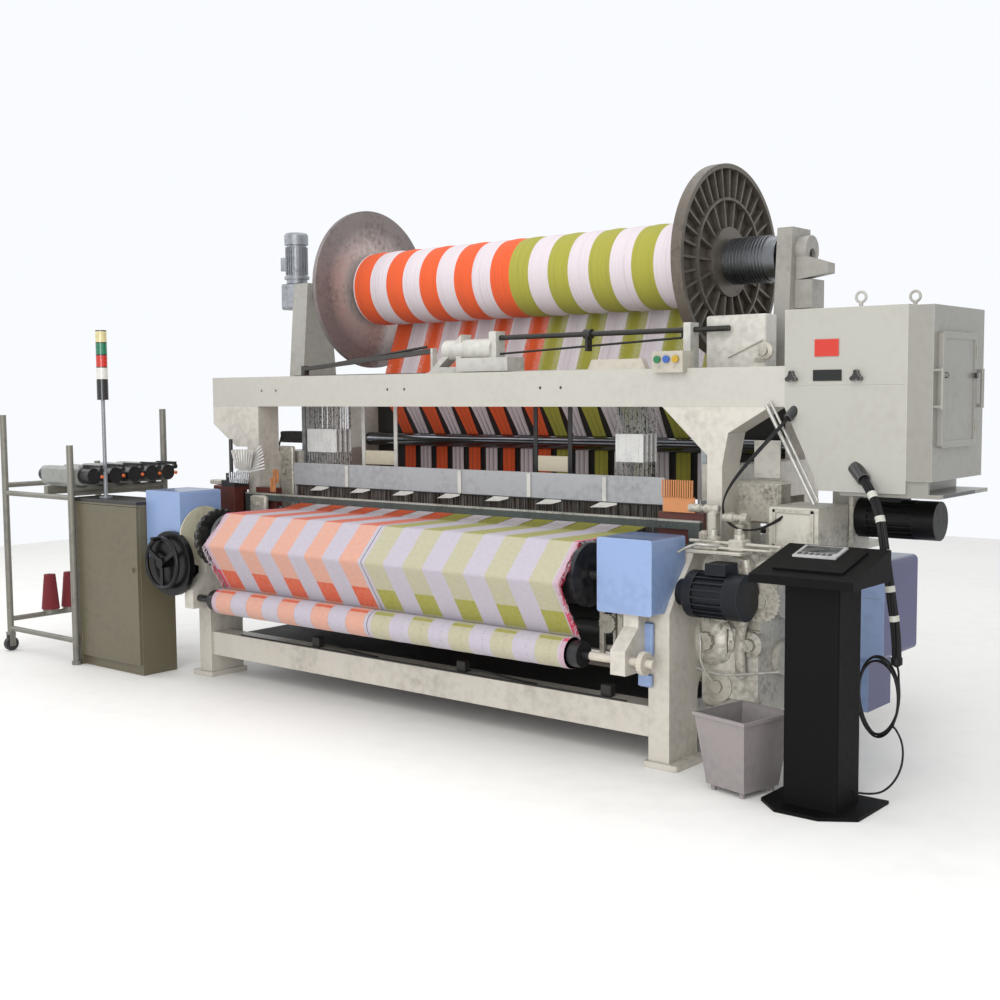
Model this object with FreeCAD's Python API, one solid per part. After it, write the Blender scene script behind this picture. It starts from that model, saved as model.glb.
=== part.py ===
import FreeCAD, Part
import math
import os

# Terry-towel rapier loom with its cabinet, weft rack, console and bin.
# Millimetres, +Z up, X along the cloth width, front of the loom towards -Y.
# Origin: on the floor, at the centre of the four floor bolts.

# ---- clearances -------------------------------------------------------------
RUN_FIT = 0.05          # radial clearance of a shaft in its bore
SEAT = 0.3              # gap between a soft or moving piece and what carries it
FREE = 6.0              # free running gap between moving pieces

# ---- side frames and gantry -------------------------------------------------
FRAME_IN = 1550.0       # inner faces of the side frames, from the centre
FRAME_T = 110.0
OUTER = FRAME_IN + FRAME_T
FRONT = -1000.0         # front face of the front legs
REAR = 1000.0
LEG_D = 240.0
DECK = 960.0            # top of the side frames
SHOULDER = 700.0        # where the front leg starts to slope back
ARCH_Z = 420.0          # height of the opening between the legs
FOOT_LIP = 50.0
FOOT_H = 28.0
BOLT_R = 11.0
BEAM_D = 120.0          # cross beam channel
BEAM_H = 140.0
BEAM_WALL = 12.0
FRONT_BEAM_Z = 130.0
REAR_BEAM_Z = 45.0
GIRDER_Z = 1610.0       # underside of the gantry girder
GIRDER_H = 180.0
GIRDER_Y = -600.0
GIRDER_D = 160.0
GIRDER_X0 = -OUTER - 325.0
GIRDER_WALL = 10.0
POST_W = 110.0
SIDE_BEAM_H = 100.0
REAR_POST_Y = 290.0
REAR_POST_D = 160.0

# ---- pile warp beam ---------------------------------------------------------
PILE_Y = 200.0
FLANGE_R = 500.0
PILE_Z = GIRDER_Z + 240.0 + FLANGE_R
FLANGE_L = -1340.0      # inner face of the left flange
FLANGE_RT = 1220.0      # inner face of the right flange
FLANGE_T_L = 30.0
FLANGE_T_R = 60.0
BARREL_R = 100.0
ROLL_R = 230.0
COLLAR_R = 120.0
JOURNAL_R = 35.0
COLUMN_D = 300.0
COLUMN_W = 85.0
WORM_BOX = 150.0

# ---- ground warp beam -------------------------------------------------------
GROUND_Y = 860.0
GROUND_Z = 560.0
GROUND_FLANGE_R = 350.0
GROUND_ROLL_R = 250.0
GROUND_JOURNAL_R = 30.0
GROUND_BARREL_R = 80.0

# ---- warp line, healds, reed ------------------------------------------------
WARP_X0 = -1280.0
WARP_X1 = 1220.0
WARP_T = 2.4
FELL_Y = -655.0
CLOTH_Z = 1000.0
SHED = 60.0             # half opening of the shed at the front heald
BAR_R = 20.0
CHROME_Y = 350.0
CHROME_Z = 1385.0
CHROME_R = 42.0
HEALD_X = 1450.0        # outer half width of a heald frame
HEALD_Y = -330.0        # centre of the first heald frame
HEALD_PITCH = 40.0
HEALD_T = 12.0
HEALD_LOW = 810.0
HEALD_HIGH = 1720.0
HEALD_RAIL = 55.0
HEALD_STILE = 30.0
REED_Y = -505.0         # reed plane
REED_X = 1326.0
REED_CAP_Z = 1137.0
REED_CAP_H = 130.0
REED_T = 30.0
SLEY_Z = 490.0          # axis of the sley shaft
SLEY_R = 40.0
SLEY_JOURNAL_R = 30.0
SLEY_TOP = 900.0
BREAST_Y = -665.0
BREAST_Z = 1042.0
BREAST_H = 42.0
BREAST_T = 28.0
BREAST_X = 1396.0

# ---- take-up ----------------------------------------------------------------
CLOTH_X0 = -1270.0
CLOTH_X1 = 1235.0
FOLD = (-1090.0, 1003.0)      # top fold of the cloth, Y and Z
RIDGE = (-1250.0, 832.0)      # front ridge of the cloth, Y and Z
TAKEUP_R = 140.0
TAKEUP_SHARE = 0.33     # where the roller meets the front facet, from fold to ridge
CLOTH_ROLL_Y = -1140.0
CLOTH_ROLL_Z = 500.0
CLOTH_ROLL_R = 72.0
CLOTH_CORE_R = 34.0
SMALL_JOURNAL_R = 20.0
TAKEUP_DISC_T = 28.0
NOSE_IN = FRAME_IN - 80.0      # inner face of the roller bearing plates

# ---- dobby and electrical boxes --------------------------------------------
DOBBY_X0 = OUTER + 340.0
DOBBY_X1 = DOBBY_X0 + 560.0
DOBBY_REAR = -20.0
DOBBY_LOW = 1245.0
DOBBY_TOP = GIRDER_Z + 425.0
SIDE_BOX_D = 110.0
SHEET = 4.0             # sheet-metal wall

# ---- equipment beside the loom ---------------------------------------------
CABINET_X = (-OUTER - 908.0, -OUTER - 225.0)
CABINET_Y = (-1270.0, -1005.0)
CABINET_H = 1050.0
RACK_X = (-OUTER - 1620.0, -OUTER - 856.0)
RACK_Y = (-1300.0, -600.0)
RACK_TUBE_R = 21.0
RACK_RAIL_R = 17.0
CASTER_R = 45.0
FEEDER_YS = (-1225.0, -1070.0, -930.0, -800.0, -675.0)
FEEDER_Z = 1185.0
CONSOLE_X = OUTER + 750.0       # middle of the console column
CONSOLE_Y = -1050.0
CONSOLE_H = 920.0                # top of the column, under the desk
BIN_X = OUTER + 397.0
BIN_Y = -1054.0
BIN_H = 335.0

# ---- cords ------------------------------------------------------------------
# Route points are measured from the outer face of the right side frame.
BUNDLE_D = 40.0
BUNDLE = [(730, -632, 1302), (822, -706, 1225), (872, -742, 1050), (905, -748, 850)]
BUNDLE += [(928, -734, 680), (926, -722, 550)]
LEAD_D = 9.0
LEAD = [(930, -722, 300), (968, -740, 232), (992, -800, 145), (978, -880, 80)]
LEAD += [(936, -950, 50), (867, -985, 62)]
HOSE_D = 20.0
HOSE = [(372, -628, 1560), (350, -690, 1505), (280, -718, 1420), (190, -722, 1325)]
HOSE += [(112, -716, 1225), (90, -708, 1140), (135, -700, 1072), (222, -688, 1056)]
HOSE += [(300, -654, 1082), (335, -597, 1118)]
COIL_X = 844.0          # middle of the hanging cable coil
COIL_Y = -720.0
COIL_Z = 400.0
COIL_HALF = (120.0, 200.0)
COIL_T = 56.0
COIL_BAND = 46.0

V = FreeCAD.Vector
AXES = {"x": V(1, 0, 0), "y": V(0, 1, 0), "z": V(0, 0, 1)}


def box(x, y, z):
    """Block between the low and high value of each pair."""
    return Part.makeBox(x[1] - x[0], y[1] - y[0], z[1] - z[0], V(x[0], y[0], z[0]))


def place(axis, first, second, along):
    """Point with `along` on the named axis and the other two in X, Y, Z order."""
    if axis == "x":
        return V(along, first, second)
    if axis == "y":
        return V(first, along, second)
    return V(first, second, along)


def rod(axis, centre, span, radius):
    start = place(axis, centre[0], centre[1], span[0])
    return Part.makeCylinder(radius, span[1] - span[0], start, AXES[axis])


def tube(axis, centre, span, outer, inner):
    return rod(axis, centre, span, outer).cut(rod(axis, centre, span, inner))


def prism(axis, outline, span):
    """Outline in the plane across the axis, extruded along it over the span."""
    points = [place(axis, a, b, span[0]) for a, b in outline]
    wire = Part.makePolygon(points + [points[0]])
    return Part.Face(wire).extrude(AXES[axis] * (span[1] - span[0]))


def edges_along(shape, axis):
    """Straight edges parallel to the named axis."""
    found = []
    for edge in shape.Edges:
        if isinstance(edge.Curve, Part.Line):
            if abs(edge.Curve.Direction.dot(AXES[axis])) > 0.999:
                found.append(edge)
    return found


def rounded(shape, axis, radius):
    return shape.makeFillet(radius, edges_along(shape, axis))


def union(*shapes):
    return shapes[0].multiFuse(list(shapes[1:])).removeSplitter()


def ribbon(points, thickness, span):
    """Sheet of constant thickness along a path in the Y-Z plane, centred on the path."""
    left = []
    right = []
    for i, point in enumerate(points):
        before = points[max(i - 1, 0)]
        after = points[min(i + 1, len(points) - 1)]
        normals = []
        for a, b in ((before, point), (point, after)):
            length = math.hypot(b[0] - a[0], b[1] - a[1])
            if length > 0:
                normals.append((-(b[1] - a[1]) / length, (b[0] - a[0]) / length))
        ny = sum(n[0] for n in normals) / len(normals)
        nz = sum(n[1] for n in normals) / len(normals)
        scale = thickness / 2 / (ny * ny + nz * nz)
        left.append((point[0] + ny * scale, point[1] + nz * scale))
        right.append((point[0] - ny * scale, point[1] - nz * scale))
    return prism("x", left + right[::-1], span)


def mirrored_span(side, inner, outer):
    """X span from inner to outer on the side -1 or +1."""
    return (inner, outer) if side > 0 else (-outer, -inner)


def node(name, *solids):
    """Write one STEP file that holds the solids of a node."""
    shape = solids[0] if len(solids) == 1 else Part.makeCompound(list(solids))
    shape.exportStep(os.path.join("parts", name + ".step"))


def route(offsets):
    return [V(OUTER + x, y, z) for x, y, z in offsets]


def strain_relief(offsets, length, radius):
    """Tapered sleeve that ends at the first point of a cord, in line with its first run."""
    points = route(offsets)
    along = (points[1] - points[0]).normalize()
    return Part.makeCone(radius + 4, radius, length, points[0] - along * length, along)


def cord(name, offsets, diameter):
    """Cord of straight runs joined by tangent arcs; prints its arc radii and length."""
    points = route(offsets)
    edges = []
    radii = []
    start = points[0]
    for i in range(1, len(points) - 1):
        back = points[i - 1] - points[i]
        ahead = points[i + 1] - points[i]
        reach = 0.45 * min(back.Length, ahead.Length)
        half_turn = (math.pi - back.getAngle(ahead)) / 2
        radius = reach / math.tan(half_turn)
        enter = points[i] + back.normalize() * reach
        leave = points[i] + ahead.normalize() * reach
        inward = (back + ahead).normalize()
        middle = points[i] + inward * (radius / math.cos(half_turn) - radius)
        edges.append(Part.LineSegment(start, enter).toShape())
        edges.append(Part.Arc(enter, middle, leave).toShape())
        radii.append(round(radius))
        start = leave
    edges.append(Part.LineSegment(start, points[-1]).toShape())
    path = Part.Wire(edges)
    first = (points[1] - points[0]).normalize()
    section = Part.Wire(Part.makeCircle(diameter / 2, points[0], first))
    body = path.makePipeShell([section], True, False)
    ideal = path.Length * math.pi * diameter * diameter / 4
    print(name, "radii", radii, "length", round(path.Length), "volume", round(body.Volume / ideal, 4))
    node(name, body)


# ---- frame ------------------------------------------------------------------
CLOTH_T = 2.0


def takeup_axis():
    """Axis of the take-up roller, square behind the front facet of the cloth."""
    dy = RIDGE[0] - FOLD[0]
    dz = RIDGE[1] - FOLD[1]
    length = math.hypot(dy, dz)
    back = TAKEUP_R + CLOTH_T / 2 + SEAT
    y = FOLD[0] + TAKEUP_SHARE * dy - back * dz / length
    z = FOLD[1] + TAKEUP_SHARE * dz + back * dy / length
    return y, z


TAKEUP_Y, TAKEUP_Z = takeup_axis()


def frame_outline(grow):
    """Side view of a side frame, with its front and top faces moved out by `grow`."""
    front = FRONT - grow
    deck = DECK + grow
    outline = [(front, 0), (front, SHOULDER), (front + 40, SHOULDER + 60)]
    outline += [(front + 170, deck - 55), (front + 210, deck)]
    return outline + [(REAR - 60, deck), (REAR, DECK - 60), (REAR, 0)]


def side_frame(side):
    """Cast side frame: two legs, a deep web, floor pads and shaft bosses."""
    span = mirrored_span(side, FRAME_IN, FRAME_IN + FRAME_T)
    body = prism("x", frame_outline(0), span)
    gap = box((span[0] - 1, span[1] + 1), (FRONT + LEG_D, REAR - LEG_D), (-200, ARCH_Z))
    body = body.cut(rounded(gap, "x", 120))
    outer = span[1] if side > 0 else span[0]
    for y0, y1 in ((-650, -90), (60, 640)):
        pocket = box((outer - 18, outer + 18), (y0, y1), (ARCH_Z + 90, DECK - 70))
        body = body.cut(rounded(pocket, "x", 50))
    pieces = [body]
    for y in (FRONT, REAR - LEG_D):
        pad_x = mirrored_span(side, FRAME_IN - 15, FRAME_IN + FRAME_T + FOOT_LIP)
        pieces.append(rounded(box(pad_x, (y - 20, y + LEG_D + 20), (0, FOOT_H)), "z", 12))
    nose = [(FRONT + 120, CLOTH_ROLL_Z - 60), (CLOTH_ROLL_Y - 45, CLOTH_ROLL_Z - 60)]
    nose += [(CLOTH_ROLL_Y - 45, CLOTH_ROLL_Z + 50), (TAKEUP_Y - 42, CLOTH_ROLL_Z + 140)]
    nose += [(TAKEUP_Y - 42, TAKEUP_Z + 30), (TAKEUP_Y, TAKEUP_Z + 60)]
    nose += [(FRONT + 120, TAKEUP_Z + 10)]
    pieces.append(prism("x", nose, mirrored_span(side, NOSE_IN, FRAME_IN)))
    body = union(*pieces)
    through = (span[0] - 100, span[1] + 100)
    bores = ((REED_Y + 25, SLEY_Z, SLEY_JOURNAL_R), (GROUND_Y, GROUND_Z, GROUND_JOURNAL_R))
    bores += ((CLOTH_ROLL_Y, CLOTH_ROLL_Z, SMALL_JOURNAL_R),)
    bores += ((TAKEUP_Y, TAKEUP_Z, SMALL_JOURNAL_R),)
    for y, z, radius in bores:
        body = body.cut(rod("x", (y, z), through, radius + RUN_FIT))
    for y in (FRONT + LEG_D / 2, REAR - LEG_D / 2):
        x = side * (FRAME_IN + FRAME_T + FOOT_LIP / 2)
        body = body.cut(rod("z", (x, y), (-1, FOOT_H + 1), BOLT_R))
    return body


SLEY_Y = REED_Y + 25
for side, name in ((-1, "left"), (1, "right")):
    node(name + "_side_frame", side_frame(side))


def cross_beam(y, z, open_to):
    """Folded channel between the side frames, open towards +Y or -Y."""
    body = box((-FRAME_IN, FRAME_IN), (y, y + BEAM_D), (z, z + BEAM_H))
    low = y + BEAM_WALL if open_to > 0 else y - 1
    high = y + BEAM_D + 1 if open_to > 0 else y + BEAM_D - BEAM_WALL
    inside = (z + BEAM_WALL, z + BEAM_H - BEAM_WALL)
    return body.cut(box((-FRAME_IN - 1, FRAME_IN + 1), (low, high), inside))


node("cross_beams",
     cross_beam(FRONT + 15, FRONT_BEAM_Z, 1),
     cross_beam(REAR - 15 - BEAM_D, REAR_BEAM_Z, -1))

GIRDER_TOP = GIRDER_Z + GIRDER_H
GIRDER_REAR = GIRDER_Y + GIRDER_D


def arch_girder():
    """Rectangular tube across the loom, with pairs of bolt holes in its front wall."""
    body = box((GIRDER_X0, DOBBY_X0), (GIRDER_Y, GIRDER_REAR), (GIRDER_Z, GIRDER_TOP))
    wall = GIRDER_WALL
    inside = box((GIRDER_X0 + wall, DOBBY_X0 - wall), (GIRDER_Y + wall, GIRDER_REAR - wall),
                 (GIRDER_Z + wall, GIRDER_TOP - wall))
    body = body.cut(inside)
    for x in (-1450, -380, 700):
        for offset in (-65, 65):
            hole = rod("y", (x + offset, GIRDER_Z + 95), (GIRDER_Y - 1, GIRDER_Y + wall + 1), 8)
            body = body.cut(hole)
    return body


node("arch_girder", arch_girder())


def heald_guide(side):
    """Slotted guide block that the heald frame ends slide in."""
    last = HEALD_Y + 3 * HEALD_PITCH
    span_y = (HEALD_Y - 25, last + 25)
    block = box(mirrored_span(side, HEALD_X - 12, FRAME_IN), span_y, (1150, 1330))
    for i in range(4):
        y = HEALD_Y + i * HEALD_PITCH
        half = HEALD_T / 2 + SEAT
        slot_x = mirrored_span(side, HEALD_X - 13, HEALD_X + SEAT)
        block = block.cut(box(slot_x, (y - half, y + half), (1149, 1331)))
    return block


POST_STEP = {-1: 0.0, 1: 60.0}    # how far each front post stands outside the frame's inner face


def arch_bracket(side):
    """Gantry end: front gusset and post, side beam, rear post and heald guides."""
    post = (FRAME_IN, FRAME_IN + POST_W)
    edge = -GIRDER_X0 if side < 0 else DOBBY_X0 - 70
    if side < 0:
        outline = [(edge, GIRDER_Z), (edge, GIRDER_Z - 110), (post[1] + 110, GIRDER_Z - 250)]
        outline += [(post[1], GIRDER_Z - 250), (post[1], DECK), (post[0], DECK)]
        outline += [(post[0], GIRDER_Z)]
    else:
        outline = [(edge, GIRDER_Z), (post[1] + 60, GIRDER_Z - 120)]
        outline += [(post[1] + 30, GIRDER_Z - 270), (post[1] + 30, DECK)]
        outline += [(post[0] + POST_STEP[side], DECK)]
        outline += [(post[0] + POST_STEP[side], GIRDER_Z - 225), (post[0] - 185, GIRDER_Z)]
    points = [(side * x, z) for x, z in outline]
    front = prism("y", points, (GIRDER_Y, GIRDER_REAR))
    rear_y = (REAR_POST_Y, REAR_POST_Y + REAR_POST_D)
    beam_x = mirrored_span(side, FRAME_IN, -GIRDER_X0 if side < 0 else FRAME_IN + 200)
    beam = box(beam_x, (GIRDER_REAR, rear_y[1]), (GIRDER_TOP - SIDE_BEAM_H, GIRDER_TOP))
    post_x = mirrored_span(side, post[0], post[1])
    rear = box(post_x, rear_y, (DECK, GIRDER_TOP - SIDE_BEAM_H))
    tie = box(post_x, (GIRDER_REAR, rear_y[0]), (1150, 1330))
    body = union(front, beam, rear, tie, heald_guide(side))
    bore = rod("x", (CHROME_Y, CHROME_Z), (-2 * OUTER, 2 * OUTER), SMALL_JOURNAL_R + RUN_FIT)
    return body.cut(bore)


for side, name in ((-1, "left"), (1, "right")):
    node(name + "_arch_bracket", arch_bracket(side))


# ---- pile warp beam ---------------------------------------------------------
COLUMN_L = (GIRDER_X0 - 5, GIRDER_X0 - 5 + 1.6 * COLUMN_W)
COLUMN_RT = (FRAME_IN + 40, FRAME_IN + 40 + COLUMN_W)
COLUMN_Y = (PILE_Y - COLUMN_D / 2, PILE_Y + COLUMN_D / 2)


def beam_column(span, top):
    """Tapered post that carries a journal of the pile beam."""
    low = GIRDER_TOP
    outline = [(COLUMN_Y[0], low), (PILE_Y - 95, top), (PILE_Y + 95, top), (COLUMN_Y[1], low)]
    body = prism("x", outline, span)
    return body.cut(rod("x", (PILE_Y, PILE_Z), (-2 * OUTER, 2 * OUTER), JOURNAL_R + RUN_FIT))


def right_column():
    """Right post with its bearing cap, clamp arm and rear block."""
    post = beam_column(COLUMN_RT, PILE_Z + 140)
    out = COLUMN_RT[1]
    cap = rod("x", (PILE_Y, PILE_Z + 30), (out, out + 60), 70)
    arm_points = [(out, PILE_Z - 120), (out + 175, PILE_Z - 95), (out + 175, PILE_Z - 45)]
    arm_points += [(out + 40, PILE_Z), (out, PILE_Z)]
    arm = prism("y", arm_points, (PILE_Y - 60, PILE_Y + 10))
    block = box((out, out + 95), (PILE_Y - 70, PILE_Y + 60), (PILE_Z - 260, PILE_Z - 120))
    body = union(post, cap, arm, block)
    return body.cut(rod("x", (PILE_Y, PILE_Z), (COLUMN_RT[0] - 1, out + 61), JOURNAL_R + RUN_FIT))


node("beam_columns", beam_column(COLUMN_L, PILE_Z + 70), right_column())


def pile_beam():
    """Turned barrel with journals, black hub and ribbed drive collar."""
    centre = (PILE_Y, PILE_Z)
    left_end = COLUMN_L[0] - WORM_BOX / 2
    pieces = [rod("x", centre, (left_end, COLUMN_RT[1] + 40), JOURNAL_R)]
    pieces.append(rod("x", centre, (FLANGE_L - 160, FLANGE_RT + 90), BARREL_R))
    pieces.append(rod("x", centre, (COLUMN_L[1] + FREE, COLUMN_L[1] + 150), 62))
    collar_x0 = FLANGE_RT + FLANGE_T_R + 20
    collar_x1 = COLUMN_RT[0] - 2 * FREE
    pieces.append(rod("x", centre, (collar_x0, collar_x1), COLLAR_R - 8))
    ribs = 12
    pitch = (collar_x1 - 60 - collar_x0) / ribs
    for i in range(ribs):
        start = collar_x0 + i * pitch
        pieces.append(rod("x", centre, (start, start + pitch * 0.55), COLLAR_R))
    return union(*pieces)


def smooth_flange():
    """Pressed steel flange with a rolled rim."""
    centre = (PILE_Y, PILE_Z)
    span = (FLANGE_L - FLANGE_T_L, FLANGE_L)
    disc = rod("x", centre, (span[1] - 12, span[1]), FLANGE_R)
    rim = tube("x", centre, span, FLANGE_R, FLANGE_R - 22)
    hub = rod("x", centre, (span[0] - 30, span[1]), BARREL_R + 70)
    body = union(disc, rim, hub)
    return body.cut(rod("x", centre, (span[0] - 31, span[1] + 1), BARREL_R + RUN_FIT))


def ribbed_flange():
    """Cast flange: rim, middle ring and two rings of radial ribs on its outer face."""
    centre = (PILE_Y, PILE_Z)
    span = (FLANGE_RT, FLANGE_RT + FLANGE_T_R)
    web = rod("x", centre, (span[0], span[0] + 14), FLANGE_R)
    pieces = [web, tube("x", centre, span, FLANGE_R, FLANGE_R - 24)]
    middle = 330.0
    pieces.append(tube("x", centre, (span[0], span[1] - 6), middle, middle - 14))
    pieces.append(tube("x", centre, (span[0], span[1] - 4), BARREL_R + 80, BARREL_R + 1))
    rings = ((36, middle - 5, FLANGE_R - 20), (18, BARREL_R + 70, middle - 8))
    for count, inner, outer in rings:
        for i in range(count):
            rib = box((span[0] + 10, span[1] - 14), (inner, outer), (-6, 6))
            rib.rotate(V(0, 0, 0), V(1, 0, 0), 360.0 * i / count)
            rib.translate(V(0, PILE_Y, PILE_Z))
            pieces.append(rib)
    body = union(*pieces)
    return body.cut(rod("x", centre, (span[0] - 1, span[1] + 1), BARREL_R + RUN_FIT))


node("pile_beam", pile_beam())
node("pile_flanges", smooth_flange(), ribbed_flange())
node("pile_yarn_roll",
     tube("x", (PILE_Y, PILE_Z), (FLANGE_L + 50, FLANGE_RT - SEAT), ROLL_R, BARREL_R + RUN_FIT))


def letoff_gearbox():
    """Worm gearbox on the left beam journal."""
    x0 = COLUMN_L[0] - WORM_BOX
    case = box((x0, COLUMN_L[0]), (PILE_Y - 75, PILE_Y + 75), (PILE_Z - 95, PILE_Z + 80))
    case = rounded(case, "x", 18)
    seat = rod("z", (x0 + WORM_BOX / 2, PILE_Y), (PILE_Z + 80, PILE_Z + 110), 70)
    body = union(case, seat)
    journal = rod("x", (PILE_Y, PILE_Z), (x0 + 20, COLUMN_L[0] + 1), JOURNAL_R + RUN_FIT)
    return body.cut(journal)


def letoff_motor():
    """Upright flange motor with cooling fins and a domed fan cover."""
    centre = (COLUMN_L[0] - WORM_BOX / 2, PILE_Y)
    low = PILE_Z + 110
    pieces = [rod("z", centre, (low, low + 20), 84)]
    pieces.append(rod("z", centre, (low + 20, low + 230), 66))
    for i in range(24):
        fin = box((60, 76), (-2.5, 2.5), (low + 30, low + 215))
        fin.rotate(V(0, 0, 0), V(0, 0, 1), 15.0 * i)
        fin.translate(V(centre[0], centre[1], 0))
        pieces.append(fin)
    hood = rod("z", centre, (low + 230, low + 310), 80)
    top_edges = [e for e in hood.Edges if abs(e.BoundBox.ZMin - (low + 310)) < 0.01]
    pieces.append(hood.makeFillet(22, top_edges))
    case_x = (centre[0] - 112, centre[0] - 60)
    pieces.append(box(case_x, (PILE_Y - 45, PILE_Y + 45), (low + 60, low + 150)))
    return union(*pieces)


node("letoff_gearbox", letoff_gearbox())
node("letoff_motor", letoff_motor())


# ---- warp sheets, bars and rollers -----------------------------------------
UPPER_BAR = (REAR_POST_Y - 68, GIRDER_TOP - SIDE_BEAM_H + BAR_R)
LOWER_BAR = (CHROME_Y + CHROME_R - BAR_R, CLOTH_Z + BAR_R + SEAT + WARP_T / 2)
GROUND_BAR = (578.0, CLOTH_Z - SHED - 22.0)
HEALD_MID = HEALD_Y + 1.5 * HEALD_PITCH


def spread(radius):
    """Distance from a roller's axis to the middle of a sheet that runs on it."""
    return radius + SEAT + WARP_T / 2


def belt_line(first, second):
    """Straight run between two rollers (y, z, radius, side); side +1 is left of travel."""
    dy = second[0] - first[0]
    dz = second[1] - first[1]
    lean = (second[2] * second[3] - first[2] * first[3]) / math.hypot(dy, dz)
    angle = math.atan2(dz, dy) - math.asin(lean)
    ny = -math.sin(angle)
    nz = math.cos(angle)
    ends = []
    for y, z, radius, side in (first, second):
        ends.append((y - side * radius * ny, z - side * radius * nz))
    return ends


def crossing(a, b):
    """Point where the lines through two pairs of points cross."""
    ay = a[1][0] - a[0][0]
    az = a[1][1] - a[0][1]
    by = b[1][0] - b[0][0]
    bz = b[1][1] - b[0][1]
    share = ((b[0][0] - a[0][0]) * bz - (b[0][1] - a[0][1]) * by) / (ay * bz - az * by)
    return (a[0][0] + share * ay, a[0][1] + share * az)


def sheet_path(rollers):
    """Path of a sheet pulled tight round a chain of rollers."""
    runs = [belt_line(rollers[i], rollers[i + 1]) for i in range(len(rollers) - 1)]
    corners = [crossing(runs[i], runs[i + 1]) for i in range(len(runs) - 1)]
    return [runs[0][0]] + corners + [runs[-1][1]]


def pile_warp():
    """Upper warp sheet: off the pile roll, round the bars and roller, to the fell."""
    chain = [(PILE_Y, PILE_Z, spread(ROLL_R), -1)]
    chain.append((UPPER_BAR[0], UPPER_BAR[1], spread(BAR_R), 1))
    chain.append((CHROME_Y, CHROME_Z, spread(CHROME_R), -1))
    chain.append((LOWER_BAR[0], LOWER_BAR[1], spread(BAR_R), -1))
    chain.append((HEALD_MID, CLOTH_Z + SHED, 0.0, 1))
    path = sheet_path(chain) + [(FELL_Y, CLOTH_Z + 2.5)]
    return ribbon(path, WARP_T, (WARP_X0, WARP_X1))


def ground_warp():
    """Lower warp sheet: off the ground roll, over the back bar, to the fell."""
    chain = [(GROUND_Y, GROUND_Z, spread(GROUND_ROLL_R), -1)]
    chain.append((GROUND_BAR[0], GROUND_BAR[1], spread(BAR_R), 1))
    chain.append((HEALD_MID, CLOTH_Z - SHED, 0.0, 1))
    path = sheet_path(chain) + [(FELL_Y, CLOTH_Z - 2.5)]
    return ribbon(path, WARP_T, (WARP_X0, WARP_X1))


node("warp_sheets", pile_warp(), ground_warp())
node("warp_bars", *[rod("x", c, (-FRAME_IN, FRAME_IN), BAR_R)
                    for c in (UPPER_BAR, LOWER_BAR, GROUND_BAR)])

chrome_ends = (-FRAME_IN - 60, FRAME_IN + 60)
node("chrome_roller", union(
    rod("x", (CHROME_Y, CHROME_Z), (-FRAME_IN + FREE, FRAME_IN - FREE), CHROME_R),
    rod("x", (CHROME_Y, CHROME_Z), chrome_ends, SMALL_JOURNAL_R)))


def ground_beam():
    """Ground warp beam: barrel with journals, and two flanges clamped on it."""
    centre = (GROUND_Y, GROUND_Z)
    barrel = rod("x", centre, (-FRAME_IN + 60, FRAME_IN - 60), GROUND_BARREL_R)
    journals = rod("x", centre, (-FRAME_IN - 80, FRAME_IN + 80), GROUND_JOURNAL_R)
    flanges = [tube("x", centre, (x0, x0 + 40), GROUND_FLANGE_R, GROUND_BARREL_R + RUN_FIT)
               for x0 in (WARP_X0 - 70, WARP_X1 + 30)]
    return [union(barrel, journals)] + flanges


node("ground_beam", *ground_beam())
node("ground_yarn_roll",
     tube("x", (GROUND_Y, GROUND_Z), (WARP_X0 - 30 + SEAT, WARP_X1 + 30 - SEAT),
          GROUND_ROLL_R, GROUND_BARREL_R + RUN_FIT))


# ---- healds, sley, reed, breast beam ---------------------------------------

def heald_frame(y):
    """Heald frame: two rails and two side stays, as four bars round an open window."""
    span_y = (y - HEALD_T / 2, y + HEALD_T / 2)
    inner = HEALD_X - HEALD_STILE
    bars = [box((-inner, inner), span_y, (HEALD_HIGH - HEALD_RAIL, HEALD_HIGH))]
    bars.append(box((-inner, inner), span_y, (HEALD_LOW, HEALD_LOW + HEALD_RAIL)))
    for side in (-1, 1):
        stile = mirrored_span(side, inner, HEALD_X)
        bars.append(box(stile, span_y, (HEALD_LOW, HEALD_HIGH)))
    return bars


heald_ys = [HEALD_Y + i * HEALD_PITCH for i in range(4)]
node("heald_frames_odd", *(heald_frame(heald_ys[0]) + heald_frame(heald_ys[2])))
node("heald_frames_even", *(heald_frame(heald_ys[1]) + heald_frame(heald_ys[3])))


def sley():
    """Rocking shaft, three swords and the beam that carries the reed."""
    centre = (SLEY_Y, SLEY_Z)
    inner = FRAME_IN - FREE
    pieces = [rod("x", centre, (-FRAME_IN - 90, FRAME_IN + 90), SLEY_JOURNAL_R)]
    pieces.append(rod("x", centre, (-inner, inner), SLEY_R))
    for x in (-1150.0, 0.0, 1150.0):
        sword = [(SLEY_Y - 55, SLEY_Z), (SLEY_Y + 55, SLEY_Z)]
        sword += [(SLEY_Y + 25, SLEY_TOP - 50), (SLEY_Y - 45, SLEY_TOP - 50)]
        pieces.append(prism("x", sword, (x - 18, x + 18)))
        pieces.append(rod("x", centre, (x - 40, x + 40), SLEY_R + 22))
    beam_y = (REED_Y - REED_T / 2 - 10, REED_Y + REED_T / 2 + 35)
    pieces.append(box((-REED_X - 30, REED_X + 30), beam_y, (SLEY_TOP - 50, SLEY_TOP)))
    return union(*pieces)


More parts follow.
